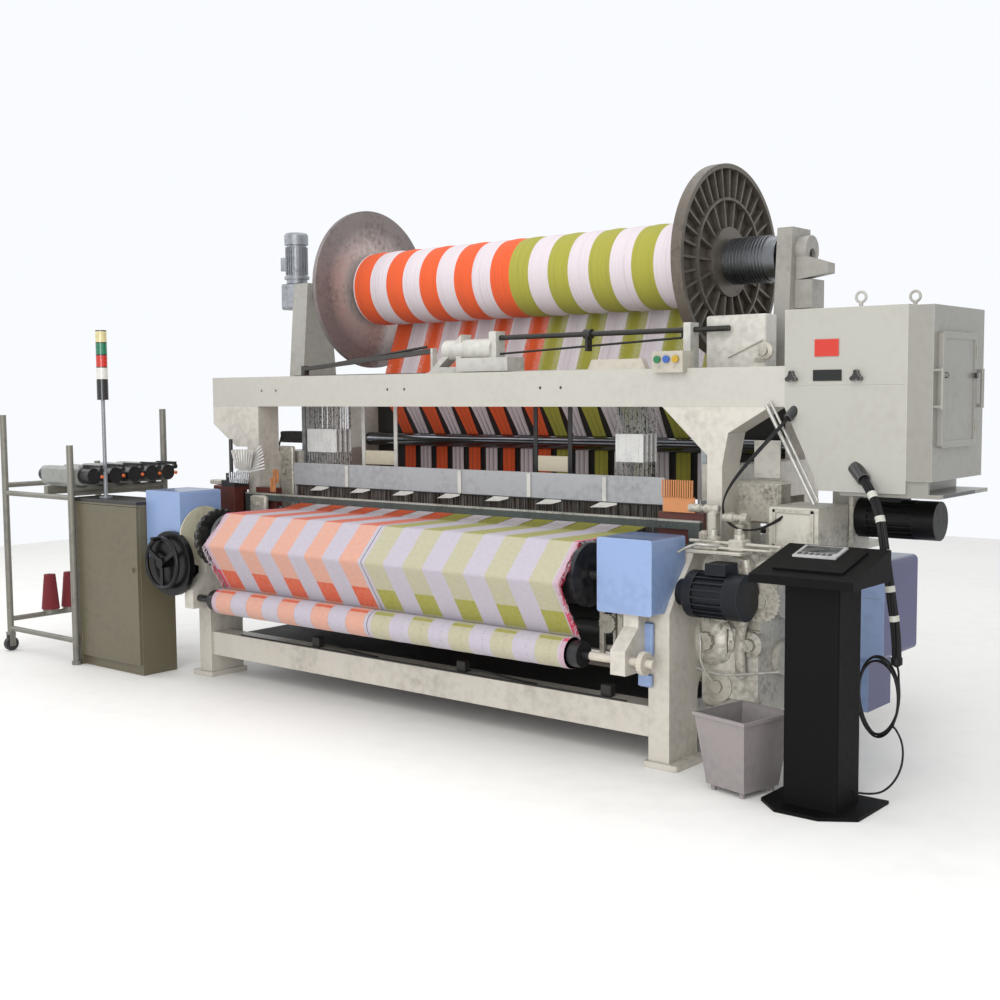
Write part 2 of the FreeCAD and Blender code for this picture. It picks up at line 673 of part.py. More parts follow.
def reed():
    """Reed frame: bottom baulk, top cap and end bars round an open dent space."""
    thin = (REED_Y - 8, REED_Y + 8)
    full = (REED_Y - REED_T / 2, REED_Y + REED_T / 2)
    cap = box((-REED_X, REED_X), full, (REED_CAP_Z, REED_CAP_Z + REED_CAP_H))
    baulk = box((-REED_X, REED_X), thin, (SLEY_TOP, SLEY_TOP + 30))
    ends = [box(mirrored_span(s, REED_X - 12, REED_X), thin, (SLEY_TOP + 30, REED_CAP_Z))
            for s in (-1, 1)]
    return [cap, baulk] + ends


node("sley", sley())
node("reed", *reed())


def breast_beam():
    """Flat temple beam over the cloth line, with a bracket to each side frame."""
    span_y = (BREAST_Y, BREAST_Y + BREAST_T)
    beam = box((-BREAST_X, BREAST_X), span_y, (BREAST_Z, BREAST_Z + BREAST_H))
    pieces = [beam]
    for side in (-1, 1):
        pieces.append(box(mirrored_span(side, BREAST_X, FRAME_IN + 60), span_y,
                          (BREAST_Z, BREAST_Z + BREAST_H)))
        pieces.append(box(mirrored_span(side, FRAME_IN, FRAME_IN + 60), span_y,
                          (DECK, BREAST_Z)))
    return union(*pieces)


RAPIER_Y = (-620.0, -595.0)
RAPIER_Z = (CLOTH_Z - 4.5, CLOTH_Z + 4.5)
RAPIER_X = (REED_X + 8, REED_X + 198)


def rapier_guide(side):
    """Guide box beside the cloth, with a channel that the rapier head runs in."""
    span = mirrored_span(side, REED_X + 40, FRAME_IN + POST_STEP[side])
    body = box(span, (RAPIER_Y[0] - 12, RAPIER_Y[1] + 12), (DECK + 10, BREAST_Z + 75))
    channel_y = (RAPIER_Y[0] - SEAT, RAPIER_Y[1] + SEAT)
    channel_z = (RAPIER_Z[0] - SEAT, RAPIER_Z[1] + SEAT)
    return body.cut(box((span[0] - 1, span[1] + 1), channel_y, channel_z))


def rapier(side):
    """Rapier head with its chamfered nose and the stiff lead end of its tape."""
    tip = side * RAPIER_X[0]
    base = side * (RAPIER_X[0] + 50)
    outline = [(tip, RAPIER_Y[0] + 9), (base, RAPIER_Y[0]), (base, RAPIER_Y[1])]
    outline += [(tip, RAPIER_Y[1] - 6)]
    head = prism("z", outline, RAPIER_Z)
    tape = box(mirrored_span(side, RAPIER_X[0] + 50, RAPIER_X[1]), RAPIER_Y, RAPIER_Z)
    return union(head, tape)


node("breast_beam", breast_beam())
node("rapier_guides", rapier_guide(-1), rapier_guide(1))
node("rapier_left", rapier(-1))
node("rapier_right", rapier(1))


# ---- cloth and take-up ------------------------------------------------------
wrap_r = CLOTH_ROLL_R + SEAT + CLOTH_T / 2
cloth_end = belt_line((RIDGE[0], RIDGE[1], 0.0, 1), (CLOTH_ROLL_Y, CLOTH_ROLL_Z, wrap_r, -1))
node("cloth_web", ribbon([(FELL_Y + 8, CLOTH_Z), FOLD, RIDGE, cloth_end[1]],
                         CLOTH_T, (CLOTH_X0, CLOTH_X1)))


def takeup_roller():
    """Covered roller with a dark disc beside each cloth edge and two journals."""
    centre = (TAKEUP_Y, TAKEUP_Z)
    x0 = CLOTH_X0 - FREE
    x1 = CLOTH_X1 + FREE
    pieces = [rod("x", centre, (x0 - 2, x1 + 2), TAKEUP_R)]
    pieces.append(rod("x", centre, (-NOSE_IN - 40, NOSE_IN + 40), SMALL_JOURNAL_R))
    for edge in (x0 - TAKEUP_DISC_T, x1):
        pieces.append(rod("x", centre, (edge, edge + TAKEUP_DISC_T), TAKEUP_R + 8))
    return union(*pieces)


def cloth_roll():
    """Wound cloth on a core, with an end disc and a drive gear on each journal."""
    centre = (CLOTH_ROLL_Y, CLOTH_ROLL_Z)
    cloth = tube("x", centre, (CLOTH_X0, CLOTH_X1), CLOTH_ROLL_R, CLOTH_CORE_R + RUN_FIT)
    core = rod("x", centre, (CLOTH_X0 - 30, CLOTH_X1 + 60), CLOTH_CORE_R)
    pieces = [core, rod("x", centre, (-NOSE_IN - 60, NOSE_IN + 200), SMALL_JOURNAL_R)]
    for x0 in (CLOTH_X0 - 60, CLOTH_X1 + 4):
        pieces.append(rod("x", centre, (x0, x0 + 56), CLOTH_ROLL_R - 12))
    gear_x = (FRAME_IN + FRAME_T / 2 + 2, FRAME_IN + FRAME_T / 2 + 28)
    gear = rod("x", centre, gear_x, 52)
    for i in range(20):
        notch = rod("x", (54, 0), gear_x, 5)
        notch.rotate(V(0, 0, 0), V(1, 0, 0), 18.0 * i)
        notch.translate(V(0, centre[0], centre[1]))
        gear = gear.cut(notch)
    pieces.append(gear)
    return cloth, union(*pieces)


node("takeup_roller", takeup_roller())
node("cloth_roll", *cloth_roll())


# ---- covers, belt guard, handwheel -----------------------------------------

def hood(x, y, z, wall):
    """Sheet cover open at the back and the bottom."""
    body = rounded(box(x, y, z), "y", 12)
    inner = box((x[0] + wall, x[1] - wall), (y[0] + wall, y[1] + 1), (z[0] - 20, z[1] - wall))
    return body.cut(inner)


def takeup_cover():
    """Sloped cover over the right end of the take-up roller, fitted to the frame."""
    x = (FRAME_IN - 205, FRAME_IN + 85)
    shell = hood(x, (FRONT - 108, FRONT + 170), (DECK - 260, DECK + 76), SHEET)
    envelope = prism("x", frame_outline(SEAT), (FRAME_IN - SEAT, OUTER + 1))
    shell = shell.cut(envelope)
    return shell.cut(rod("x", (TAKEUP_Y, TAKEUP_Z), (x[0] - 1, x[0] + 9), SMALL_JOURNAL_R + 4))


def left_cover():
    """Tall cover over the left drive belts, fitted to the frame."""
    x = (-OUTER - 220, -FRAME_IN - FREE)
    shell = hood(x, (FRONT - 200, FRONT + 100), (DECK - 240, DECK + 160), SHEET)
    return shell.cut(prism("x", frame_outline(SEAT), (-OUTER - SEAT, -FRAME_IN + 1)))


REAR_COVER_X = (OUTER + 300, OUTER + 740)


def rear_cover():
    """Closed cover of the rear drive with a narrower box below it."""
    upper = rounded(box(REAR_COVER_X, (-420, -50), (490, 928)), "y", 25)
    lower = box((REAR_COVER_X[0], REAR_COVER_X[0] + 340), (-350, -100), (230, 495))
    body = union(upper, lower)
    groove = box((REAR_COVER_X[0] + 20, REAR_COVER_X[1] - 20), (-421, -417), (760, 766))
    return body.cut(groove)


def belt_guard():
    """Round guard on a bracket from the frame, with the handwheel bearing."""
    centre = (-OUTER + 40, SHOULDER)
    disc = rod("y", centre, (FRONT - 236, FRONT - 200 - SEAT), 190)
    bracket = box((-OUTER + 5, -FRAME_IN - 15), (FRONT - 236, FRONT), (SHOULDER - 140, SHOULDER - 10))
    body = union(disc, bracket)
    return body.cut(rod("y", WHEEL, (FRONT - 300, FRONT - 203), 12 + RUN_FIT))


WHEEL = (-OUTER + 15.0, SHOULDER + 5.0)


def handwheel():
    """Spoked handwheel with a turned shaft and a crank knob."""
    rim = Part.makeTorus(146, 13, V(WHEEL[0], FRONT - 270, WHEEL[1]), V(0, 1, 0))
    pieces = [rod("y", WHEEL, (FRONT - 290, FRONT - 238), 30)]
    pieces.append(rod("y", WHEEL, (FRONT - 290, FRONT - 206), 12))
    for i in range(3):
        spoke = box((0, 146), (FRONT - 277, FRONT - 263), (-12, 12))
        spoke.rotate(V(0, 0, 0), V(0, 1, 0), 90 + 120.0 * i)
        spoke.translate(V(WHEEL[0], 0, WHEEL[1]))
        pieces.append(spoke)
    pieces.append(rod("y", (WHEEL[0], WHEEL[1] + 146), (FRONT - 340, FRONT - 265), 12))
    return union(rim, *pieces)


node("takeup_cover", takeup_cover())
node("drive_covers", left_cover(), rear_cover())
node("belt_guard", belt_guard())
node("handwheel", handwheel())


# ---- drive, motors ----------------------------------------------------------
GEAR_X = (OUTER, OUTER + 300)
GEAR_TOP = 960.0


def drive_gearbox():
    """Cast gear case on the right side frame, its ribs, bosses, top plate and control box."""
    case = rounded(box(GEAR_X, (-720, 250), (230, 930)), "x", 60)
    pieces = [case]
    pieces.append(box((OUTER, DOBBY_X0 + 130), (-560, 180), (930, GEAR_TOP)))
    pieces.append(box((DOBBY_X0 - 70, DOBBY_X0 + 170), (-600, -300), (GEAR_TOP, 1165)))
    for y, z, radius in ((-540, 760, 105), (-540, 470, 80), (80, 700, 110)):
        pieces.append(rod("x", (y, z), (GEAR_X[0] + 1, GEAR_X[1] + 32), radius))
    for y in (-700, -390, 40):
        pieces.append(box((GEAR_X[0] + 40, GEAR_X[1] - 30), (y, y + 18), (915, 955)))
    pieces.append(box((GEAR_X[0] + 60, GEAR_X[1]), (-745, -715), (300, 620)))
    feet = [box((GEAR_X[0] + 20, GEAR_X[1] - 20), (y, y + 120), (0, 235)) for y in (-700, 100)]
    body = union(*(pieces + feet))
    mount_x = (DOBBY_X0 + 170, DOBBY_X0 + 190)
    saddle = box((DOBBY_X0 + 20, mount_x[1]), (-290, -110), (GEAR_TOP, 1000))
    plate = box((mount_x[0], mount_x[1]), (-290, -110), (990, 1200))
    return union(body, saddle, plate)


def ribbed_motor(axis, centre, span, radius):
    """Foot-less motor: finned barrel between two end bells and a fan cover."""
    length = span[1] - span[0]
    barrel = (span[0] + 0.16 * length, span[0] + 0.72 * length)
    pieces = [rod(axis, centre, (span[0], barrel[0]), radius)]
    pieces.append(rod(axis, centre, barrel, radius - 14))
    pieces.append(rod(axis, centre, (barrel[1], span[1]), radius - 2))
    for i in range(20):
        fin = box((barrel[0] - 1, barrel[1] + 1), (radius - 18, radius - 1), (-2.5, 2.5))
        fin.rotate(V(0, 0, 0), V(1, 0, 0), 18.0 * i)
        fin.translate(V(0, centre[0], centre[1]))
        pieces.append(fin)
    return union(*pieces)


MAIN_MOTOR = (DOBBY_X0 + 190, DOBBY_X0 + 560)
TAKEUP_MOTOR = (OUTER + 60.0, OUTER + 330.0)
main_motor = union(ribbed_motor("x", (-200, 1100), MAIN_MOTOR, 90),
                   box((MAIN_MOTOR[0] + 90, MAIN_MOTOR[0] + 210), (-260, -140), (1180, 1225)))
takeup_motor = union(ribbed_motor("x", (-900, 790), TAKEUP_MOTOR, 105),
                     rod("x", (-900, 790), (OUTER, TAKEUP_MOTOR[0] + 1), 60),
                     box((TAKEUP_MOTOR[0] + 90, TAKEUP_MOTOR[0] + 190), (-955, -845), (885, 935)))
node("drive_gearbox", drive_gearbox())
node("drive_motors", main_motor, takeup_motor)


# ---- dobby ------------------------------------------------------------------
DOBBY_Y = (GIRDER_Y, DOBBY_REAR)
DOBBY_SEAM = GIRDER_Z + 90.0


def dobby_housing():
    """Dobby case with its rear leg, seam flange, cable gland, screws and eye bolts."""
    outline = [(DOBBY_X0, DOBBY_TOP), (DOBBY_X1, DOBBY_TOP), (DOBBY_X1, DOBBY_LOW)]
    outline += [(DOBBY_X0 + 150, DOBBY_LOW), (DOBBY_X0 + 150, DOBBY_LOW + 55)]
    outline += [(DOBBY_X0, GIRDER_Z)]
    case = prism("y", outline, DOBBY_Y)
    groove = box((DOBBY_X0 + 30, DOBBY_X1 - 10), (DOBBY_Y[0] - 1, DOBBY_Y[0] + 3),
                 (DOBBY_SEAM, DOBBY_SEAM + 6))
    case = case.cut(groove)
    leg = box((DOBBY_X0, DOBBY_X0 + 110), (DOBBY_REAR - 80, DOBBY_REAR), (GEAR_TOP, GIRDER_Z + 60))
    bundle_sleeve = strain_relief(BUNDLE, 90.0, BUNDLE_D / 2 + 9)
    hose_sleeve = strain_relief(HOSE, 60.0, HOSE_D)
    solids = [union(case, bundle_sleeve, hose_sleeve), leg.cut(case)]
    for x in (DOBBY_X0 + 40, DOBBY_X0 + 342):
        centre = (x, DOBBY_SEAM + 40)
        knob = rod("y", centre, (DOBBY_Y[0] - 26, DOBBY_Y[0]), 16)
        for i in range(3):
            angle = math.radians(90 + 120 * i)
            lobe = (x + 18 * math.cos(angle), centre[1] + 18 * math.sin(angle))
            knob = knob.fuse(rod("y", lobe, (DOBBY_Y[0] - 26, DOBBY_Y[0] - 6), 11))
        solids.append(knob)
    for x, y in ((DOBBY_X0 + 330, -550), (DOBBY_X1 - 40, -430)):
        stem = rod("z", (x, y), (DOBBY_TOP, DOBBY_TOP + 22), 9)
        ring = Part.makeTorus(22, 6, V(x, y, DOBBY_TOP + 42), V(0, 1, 0))
        solids.append(stem.fuse(ring))
    return solids


SIDE_BOX_X = (DOBBY_X1, DOBBY_X1 + SIDE_BOX_D)
DOOR_Y = (-550.0, -160.0)
DOOR_Z = (GIRDER_Z - 170.0, GIRDER_Z + 310.0)
DOOR_T = 22.0


def dobby_side_box():
    """Open-sided electrical box on the end of the dobby, with its handles and floor tray."""
    y = (DOBBY_Y[0], DOBBY_Y[1])
    body = box(SIDE_BOX_X, y, (1300, DOBBY_TOP - 5))
    hollow = box((SIDE_BOX_X[0] + SHEET, SIDE_BOX_X[1] - SHEET), (y[0] + SHEET, y[1] - SHEET),
                 (1300 + SHEET, DOBBY_TOP - 5 - SHEET))
    window = box((SIDE_BOX_X[1] - SHEET - 1, SIDE_BOX_X[1] + 1), (DOOR_Y[0] + 20, DOOR_Y[1] - 20),
                 (DOOR_Z[0] + 20, DOOR_Z[1] - 20))
    rail = box((SIDE_BOX_X[0] + SHEET, SIDE_BOX_X[0] + 30), (-500, -200), (1540, 1575))
    relay = box((SIDE_BOX_X[0] + 30, SIDE_BOX_X[0] + 75), (-480, -220), (1515, 1600))
    tray = box((SIDE_BOX_X[0] - 300, SIDE_BOX_X[1] + 30), (y[0] + 15, y[1]), (1228, 1245))
    web = box((SIDE_BOX_X[0], SIDE_BOX_X[1] - 20), (y[0] + 15, y[0] + 35), (1245, 1300))
    pieces = [body.cut(hollow).cut(window), rail, relay, tray, web]
    for y in (y[0] + 12, DOOR_Y[1] + 34):
        pieces.append(rod("z", (SIDE_BOX_X[1] + 34, y), (GIRDER_Z - 10, GIRDER_Z + 160), 8))
        for z in (GIRDER_Z, GIRDER_Z + 150):
            pieces.append(rod("x", (y, z), (SIDE_BOX_X[1] - 1, SIDE_BOX_X[1] + 34), 7))
    return union(*pieces)


def dobby_door():
    """Flanged door with two hinge knuckles and two clamp knobs."""
    x = (SIDE_BOX_X[1] + SEAT, SIDE_BOX_X[1] + DOOR_T)
    body = rounded(box(x, DOOR_Y, DOOR_Z), "x", 14)
    frame = box((x[1] - 5, x[1] + 1), (DOOR_Y[0] + 26, DOOR_Y[1] - 26), (DOOR_Z[0] + 26, DOOR_Z[1] - 26))
    solids = [body.cut(frame)]
    for z in (DOOR_Z[0] + 50, DOOR_Z[1] - 110):
        solids[0] = solids[0].fuse(rod("z", (x[1], DOOR_Y[1]), (z, z + 60), 7))
    for y in (DOOR_Y[0] + 14, DOOR_Y[1] - 30):
        solids.append(rod("x", (y, GIRDER_Z + 130), (x[1], x[1] + 16), 12))
    return solids


node("dobby_housing", *dobby_housing())
node("dobby_side_box", dobby_side_box())
node("dobby_door", *dobby_door())


# ---- push-button box, gantry controls --------------------------------------
BUTTON_X = (1334.0, 1500.0)
BUTTON_Z = (GIRDER_TOP - 20, GIRDER_TOP + 80)
BUTTON_PITCH = 50.0
BUTTON_R = 17.0
BUTTON_TRAVEL = 5.0
BUTTON_Y = GIRDER_Y - 40.0      # front face of the box


def button_box():
    """Push-button box on the girder with three plungers, and a cap plate beside it."""
    body = box(BUTTON_X, (BUTTON_Y, GIRDER_Y + 60), (GIRDER_TOP, BUTTON_Z[1]))
    lip = box(BUTTON_X, (BUTTON_Y, GIRDER_Y), (BUTTON_Z[0], GIRDER_TOP))
    body = union(body, lip)
    for x in button_xs():
        body = body.cut(rod("y", (x, BUTTON_Z[1] - 38), (BUTTON_Y - 1, BUTTON_Y + 40),
                            BUTTON_R - 3 + SEAT))
    for x in (button_xs()[0] + 10, button_xs()[2] - 10):
        body = body.cut(rod("y", (x, BUTTON_Z[0] + 24), (BUTTON_Y - 1, BUTTON_Y + 3), 7))
    plate = prism("y", [(930, GIRDER_TOP), (955, GIRDER_TOP + 50), (1245, GIRDER_TOP + 50),
                        (1270, GIRDER_TOP)], (GIRDER_Y + 2, GIRDER_Y + 40))
    return body, plate


def button_xs():
    middle = (BUTTON_X[0] + BUTTON_X[1]) / 2
    return [middle - BUTTON_PITCH, middle, middle + BUTTON_PITCH]


def push_button(x):
    z = BUTTON_Z[1] - 38
    cap = rod("y", (x, z), (BUTTON_Y - 16, BUTTON_Y - BUTTON_TRAVEL - 1), BUTTON_R)
    stem = rod("y", (x, z), (BUTTON_Y - 10, BUTTON_Y + 30), BUTTON_R - 3)
    return union(cap, stem)


node("button_box", *button_box())
for x, name in zip(button_xs(), ("green_button", "blue_button", "yellow_button")):
    node(name, push_button(x))

SHAFT_X = (40.0, 1524.0)
SHAFT_Y = -250.0
SHAFT_Z = GIRDER_TOP + 195.0


def control_motor():
    """Plate bracket, cylinder, terminal box, outer bearing stand and cross beam of the drive."""
    span = (SHAFT_Y - 45, SHAFT_Y + 45)
    plate = prism("y", [(-410, GIRDER_TOP + 10), (-160, GIRDER_TOP + 10), (-160, SHAFT_Z + 25)], span)
    window = prism("y", [(-330, GIRDER_TOP + 40), (-200, GIRDER_TOP + 40), (-200, GIRDER_TOP + 140)],
                   (span[0] - 1, span[1] + 1))
    body = plate.cut(window)
    cylinder = rod("x", (SHAFT_Y, SHAFT_Z - 60), (-300, 56), 58)
    terminal = box((-142, 226), (SHAFT_Y - 110, SHAFT_Y + 40), (GIRDER_TOP + 10, GIRDER_TOP + 85))
    stand_z = (GIRDER_TOP + 10, SHAFT_Z + 35)
    bearing = box((SHAFT_X[0], SHAFT_X[0] + 50), (SHAFT_Y - 40, SHAFT_Y + 40), stand_z)
    stand = box((1290, 1330), (SHAFT_Y - 40, SHAFT_Y + 40), stand_z)
    tail = prism("y", [(-1500, GIRDER_TOP + 40), (-1500, GIRDER_TOP + 62), (-415, GIRDER_TOP + 150),
                       (-415, GIRDER_TOP + 122)], (SHAFT_Y - 20, SHAFT_Y + 20))
    link = box((-416, -400), (SHAFT_Y - 20, SHAFT_Y + 20), (GIRDER_TOP + 10, GIRDER_TOP + 150))
    end = box((-1520, -1490), (SHAFT_Y - 20, SHAFT_Y + 20), (GIRDER_TOP + 10, GIRDER_TOP + 70))
    base = box((-1540, 1340), (SHAFT_Y - 60, SHAFT_Y + 60), (GIRDER_TOP - 20, GIRDER_TOP + 10))
    arms = [box((x, x + 60), (GIRDER_REAR, SHAFT_Y - 60), (GIRDER_TOP - 20, GIRDER_TOP))
            for x in (-1400, -300, 500, 1200)]
    body = union(body, cylinder, terminal, bearing, stand, tail, link, end, base, *arms)
    return body.cut(rod("x", (SHAFT_Y, SHAFT_Z), (SHAFT_X[0] - 1, SHAFT_X[1]), 14 + RUN_FIT))


def control_shaft():
    """Rocking shaft with a lever arm."""
    centre = (SHAFT_Y, SHAFT_Z)
    arm_x = (SHAFT_X[0] + 640, SHAFT_X[0] + 655)
    arm = box(arm_x, (SHAFT_Y - 22, SHAFT_Y + 22), (SHAFT_Z - 90, SHAFT_Z))
    hub = rod("x", centre, (arm_x[0] - 15, arm_x[1] + 15), 26)
    return union(rod("x", centre, (SHAFT_X[0] + 2, SHAFT_X[1]), 14), arm, hub)


node("control_motor", control_motor())
node("control_shaft", control_shaft())


# ---- weft selector ----------------------------------------------------------
SELECT_X = -OUTER + 8.0
SELECT_Y = -700.0


def weft_selector():
    """Selector base on the deck with a post and a finger pivot pin."""
    base = box((SELECT_X - 70, SELECT_X + 50), (SELECT_Y - 60, SELECT_Y + 60), (1100, 1160))
    leg = box((SELECT_X + 5, SELECT_X + 50), (SELECT_Y - 60, SELECT_Y + 10), (DECK, 1101))
    post = rod("z", (SELECT_X - 45, SELECT_Y), (1159, 1410), 12)
    ear_x = (FINGER_PIVOT[0] - 20, FINGER_PIVOT[0] + 20)
    ears = [box(ear_x, (y, y + 8), (1159, 1205)) for y in (SELECT_Y - 60, SELECT_Y - 18)]
    body = union(base, leg, post, *ears)
    return body.cut(rod("y", FINGER_PIVOT, (SELECT_Y - 61, SELECT_Y), 5 + RUN_FIT))


FINGER_PIVOT = (SELECT_X - 5, 1186.0)


def selector_fingers():
    """Bank of eight weft fingers fanned from one pivot bush."""
    pin = rod("y", FINGER_PIVOT, (SELECT_Y - 59, SELECT_Y - 11), 5)
    pieces = [rod("y", FINGER_PIVOT, (SELECT_Y - 52 + SEAT, SELECT_Y - 18 - SEAT), 14), pin]
    for i in range(8):
        blade = box((0, 330), (-2, 2), (-4, 4))
        blade.rotate(V(0, 0, 0), V(0, 1, 0), -(10.0 + 3.6 * i))
        blade.translate(V(FINGER_PIVOT[0], SELECT_Y - 46 + 3.4 * i, FINGER_PIVOT[1]))
        pieces.append(blade)
    return union(*pieces)


node("weft_selector", weft_selector())
node("selector_fingers", selector_fingers())


# ---- cabinet and signal lamp ------------------------------------------------
CABINET_PLINTH = 60.0
CABINET_TABLE = 30.0
CABINET_STILE = 75.0     # fixed strip beside the hinged edge of the door


def cabinet_body():
    """Steel cabinet open at the front, with a plinth, a shelf and a table top."""
    x, y = CABINET_X, CABINET_Y
    top = CABINET_H - CABINET_TABLE
    body = box(x, (y[0] + DOOR_T, y[1]), (0, top))
    hollow = box((x[0] + SHEET, x[1] - SHEET), (y[0], y[1] - SHEET), (CABINET_PLINTH, top - SHEET))
    shelf = box((x[0] + SHEET, x[1] - SHEET), (y[0] + 60, y[1] - SHEET), (520, 524))
    table = box((x[0] - 3, x[1] + 3), (y[0] - 2, y[1]), (top, CABINET_H))
    stile = box((x[0], x[0] + CABINET_STILE), (y[0], y[0] + DOOR_T), (0, top))
    return union(body.cut(hollow), shelf, table, stile)


def cabinet_door():
    """Cabinet door with folded edges and a lock barrel."""
    x, y = CABINET_X, CABINET_Y
    z = (CABINET_PLINTH + 4, CABINET_H - CABINET_TABLE - 4)
    hinge_x = x[0] + CABINET_STILE + 3
    panel = box((hinge_x, x[1] - 3), (y[0], y[0] + DOOR_T - SEAT), z)
    pocket = box((hinge_x + 22, x[1] - 25), (y[0] + 3, y[0] + DOOR_T + 1), (z[0] + 22, z[1] - 22))
    pins = [rod("z", (hinge_x, y[0]), (low, low + 50), 2.5) for low in (z[0] + 80, z[1] - 130)]
    lock = rod("y", (x[1] - 50, 640), (y[0] - 12, y[0] + 3), 14)
    return union(panel.cut(pocket), lock, *pins)


LAMP_X = CABINET_X[0] + 217.0
LAMP_Y = -1160.0


def signal_lamp():
    """Lamp pole on the cabinet with a base cup and four stacked lenses."""
    pole = union(rod("z", (LAMP_X, LAMP_Y), (CABINET_H, CABINET_H + 12), 40),
                 rod("z", (LAMP_X, LAMP_Y), (CABINET_H, 1657), 12))
    cup = rod("z", (LAMP_X, LAMP_Y), (1657, 1781), 35)
    lenses = [rod("z", (LAMP_X, LAMP_Y), (1781 + 76 * i, 1781 + 76 * (i + 1)), 34) for i in range(4)]
    return [pole, cup] + lenses


node("cabinet_body", cabinet_body())
node("cabinet_door", cabinet_door())
node("signal_lamp", *signal_lamp())


# ---- weft rack --------------------------------------------------------------
RAIL_ZS = {"upper_side": 1100.0, "upper_front": 1050.0, "lower_side": 210.0, "lower_front": 150.0}


def weft_rack():
    """Tube rack: four posts, side and front rails, feeder bars and three peg plates."""
    x, y = RACK_X, RACK_Y
    tops = {(0, 0): 1562.0, (1, 0): 1377.0, (1, 1): 1593.0, (0, 1): 1230.0}
    pieces = []
    for (i, j), top in tops.items():
        low = 2 * CASTER_R + 34 if (i, j) == (0, 0) else 0.0
        pieces.append(rod("z", (x[i], y[j]), (low, top), RACK_TUBE_R))
        if low == 0.0:
            pieces.append(rod("z", (x[i], y[j]), (0, 22), RACK_TUBE_R + 8))
    for i, z in ((0, "upper_side"), (1, "upper_side"), (0, "lower_side")):
        pieces.append(rod("y", (x[i], RAIL_ZS[z]), y, RACK_RAIL_R))
    for z in (RAIL_ZS["upper_front"], RAIL_ZS["lower_front"]):
        for j in (0, 1):
            pieces.append(rod("x", (y[j], z), x, RACK_RAIL_R))
    for bar_x in (x[0] + 480.0, x[1] - 20.0):
        pieces.append(box((bar_x - 20, bar_x + 20), y, (1060, FEEDER_BASE)))
    for cone_y in CONE_YS:
        centre = (x[0], cone_y)
        pieces.append(rod("z", centre, (RAIL_ZS["lower_side"], RAIL_ZS["lower_side"] + 30), 52))
        pieces.append(rod("z", centre, (RAIL_ZS["lower_side"], RAIL_ZS["lower_side"] + 210), 11))
    body = union(*pieces)
    return body.cut(rod("z", (x[0], y[0]), (0, 2 * CASTER_R + 96), 9 + RUN_FIT))


CONE_YS = (-1000.0, -850.0, -700.0)
FEEDER_BASE = FEEDER_Z - 70.0


def yarn_cone(y):
    """Wound cone that sits on a peg plate of the rack."""
    low = RAIL_ZS["lower_side"] + 30 + SEAT
    cone = Part.makeCone(60, 38, 235, V(RACK_X[0], y, low))
    return cone.cut(rod("z", (RACK_X[0], y), (low - 1, low + 300), 16))


def caster_fork():
    """Swivel fork with its kingpin."""
    x, y = RACK_X[0], RACK_Y[0]
    top = 2 * CASTER_R + 34
    pieces = [rod("z", (x, y), (top - 12, top + 60), 9)]
    pieces.append(box((x - 24, x + 24), (y - 22, y + 22), (top - 16, top - SEAT)))
    for side in (-1, 1):
        cheek = mirrored_span(side, 20, 24)
        pieces.append(box((x + cheek[0], x + cheek[1]), (y - 20, y + 20), (CASTER_R - 14, top - 10)))
    body = union(*pieces)
    return body.cut(rod("x", (y, CASTER_R), (x - 30, x + 30), 6 + RUN_FIT))


def caster_wheel():
    x, y = RACK_X[0], RACK_Y[0]
    tread = rod("x", (y, CASTER_R), (x - 17, x + 17), CASTER_R)
    return union(tread, rod("x", (y, CASTER_R), (x - 24, x + 24), 6))


def weft_feeder(y):
    """Weft accumulator: cap, rounded body, drum, guide knob and its foot."""
    x0 = RACK_X[0] + 350
    body = rounded(box((x0 + 40, x0 + 450), (y - 48, y + 48), (FEEDER_Z - 60, FEEDER_Z + 55)), "x", 24)
    foot = box((x0 + 60, x0 + 395), (y - 24, y + 24), (FEEDER_BASE, FEEDER_Z - 50))
    cap = rod("x", (y, FEEDER_Z), (x0, x0 + 41), 44)
    drum = rod("x", (y, FEEDER_Z), (x0 + 449, x0 + 560), 50)
    arm = box((x0 + 440, x0 + 640), (y - 9, y + 9), (FEEDER_Z + 52, FEEDER_Z + 70))
    knob = rod("x", (y, FEEDER_Z + 40), (x0 + 618, x0 + 640), 16)
    strut = box((x0 + 400, x0 + 450), (y - 9, y + 9), (FEEDER_Z + 40, FEEDER_Z + 62))
    return union(body, foot, cap, drum, arm, knob, strut)


node("weft_rack", weft_rack())
node("caster_fork", caster_fork())
node("caster_wheel", caster_wheel())
node("weft_cones", *[yarn_cone(y) for y in CONE_YS])
node("weft_feeders", *[weft_feeder(y) for y in FEEDER_YS])


# ---- console ----------------------------------------------------------------
BASE_T = 14.0


def console_stand():
    """Base plate with cut corners and a rectangular column."""
    x, y = CONSOLE_X, CONSOLE_Y
    outline = [(x - 220, y + 190), (x - 220, y - 90), (x - 110, y - 190), (x + 80, y - 190)]
    outline += [(x + 210, y - 100), (x + 210, y + 190)]
    base = prism("z", outline, (0, BASE_T))
    column = box((x - 118, x + 118), (y - 102, y + 110), (BASE_T, CONSOLE_H))
    return union(base, rounded(column, "z", 12))


def console_panel():
    """Sloping desk with a raised screen bezel."""
    x, y = CONSOLE_X, CONSOLE_Y
    outline = [(y - 200, CONSOLE_H), (y - 200, CONSOLE_H + 35)]
    outline += [(y + 150, CONSOLE_H + 125), (y + 150, CONSOLE_H)]
    desk = prism("x", outline, (x - 225, x + 220))
    slope = math.degrees(math.atan2(90, 350))
    bezel = box((-150, 150), (60, 300), (-6, 10))
    bezel.rotate(V(0, 0, 0), V(1, 0, 0), slope)
    bezel.translate(V(x, y - 200, CONSOLE_H + 35))
    return union(desk, bezel)


node("console_stand", console_stand())
node("console_panel", console_panel())


# ---- waste bin --------------------------------------------------------------

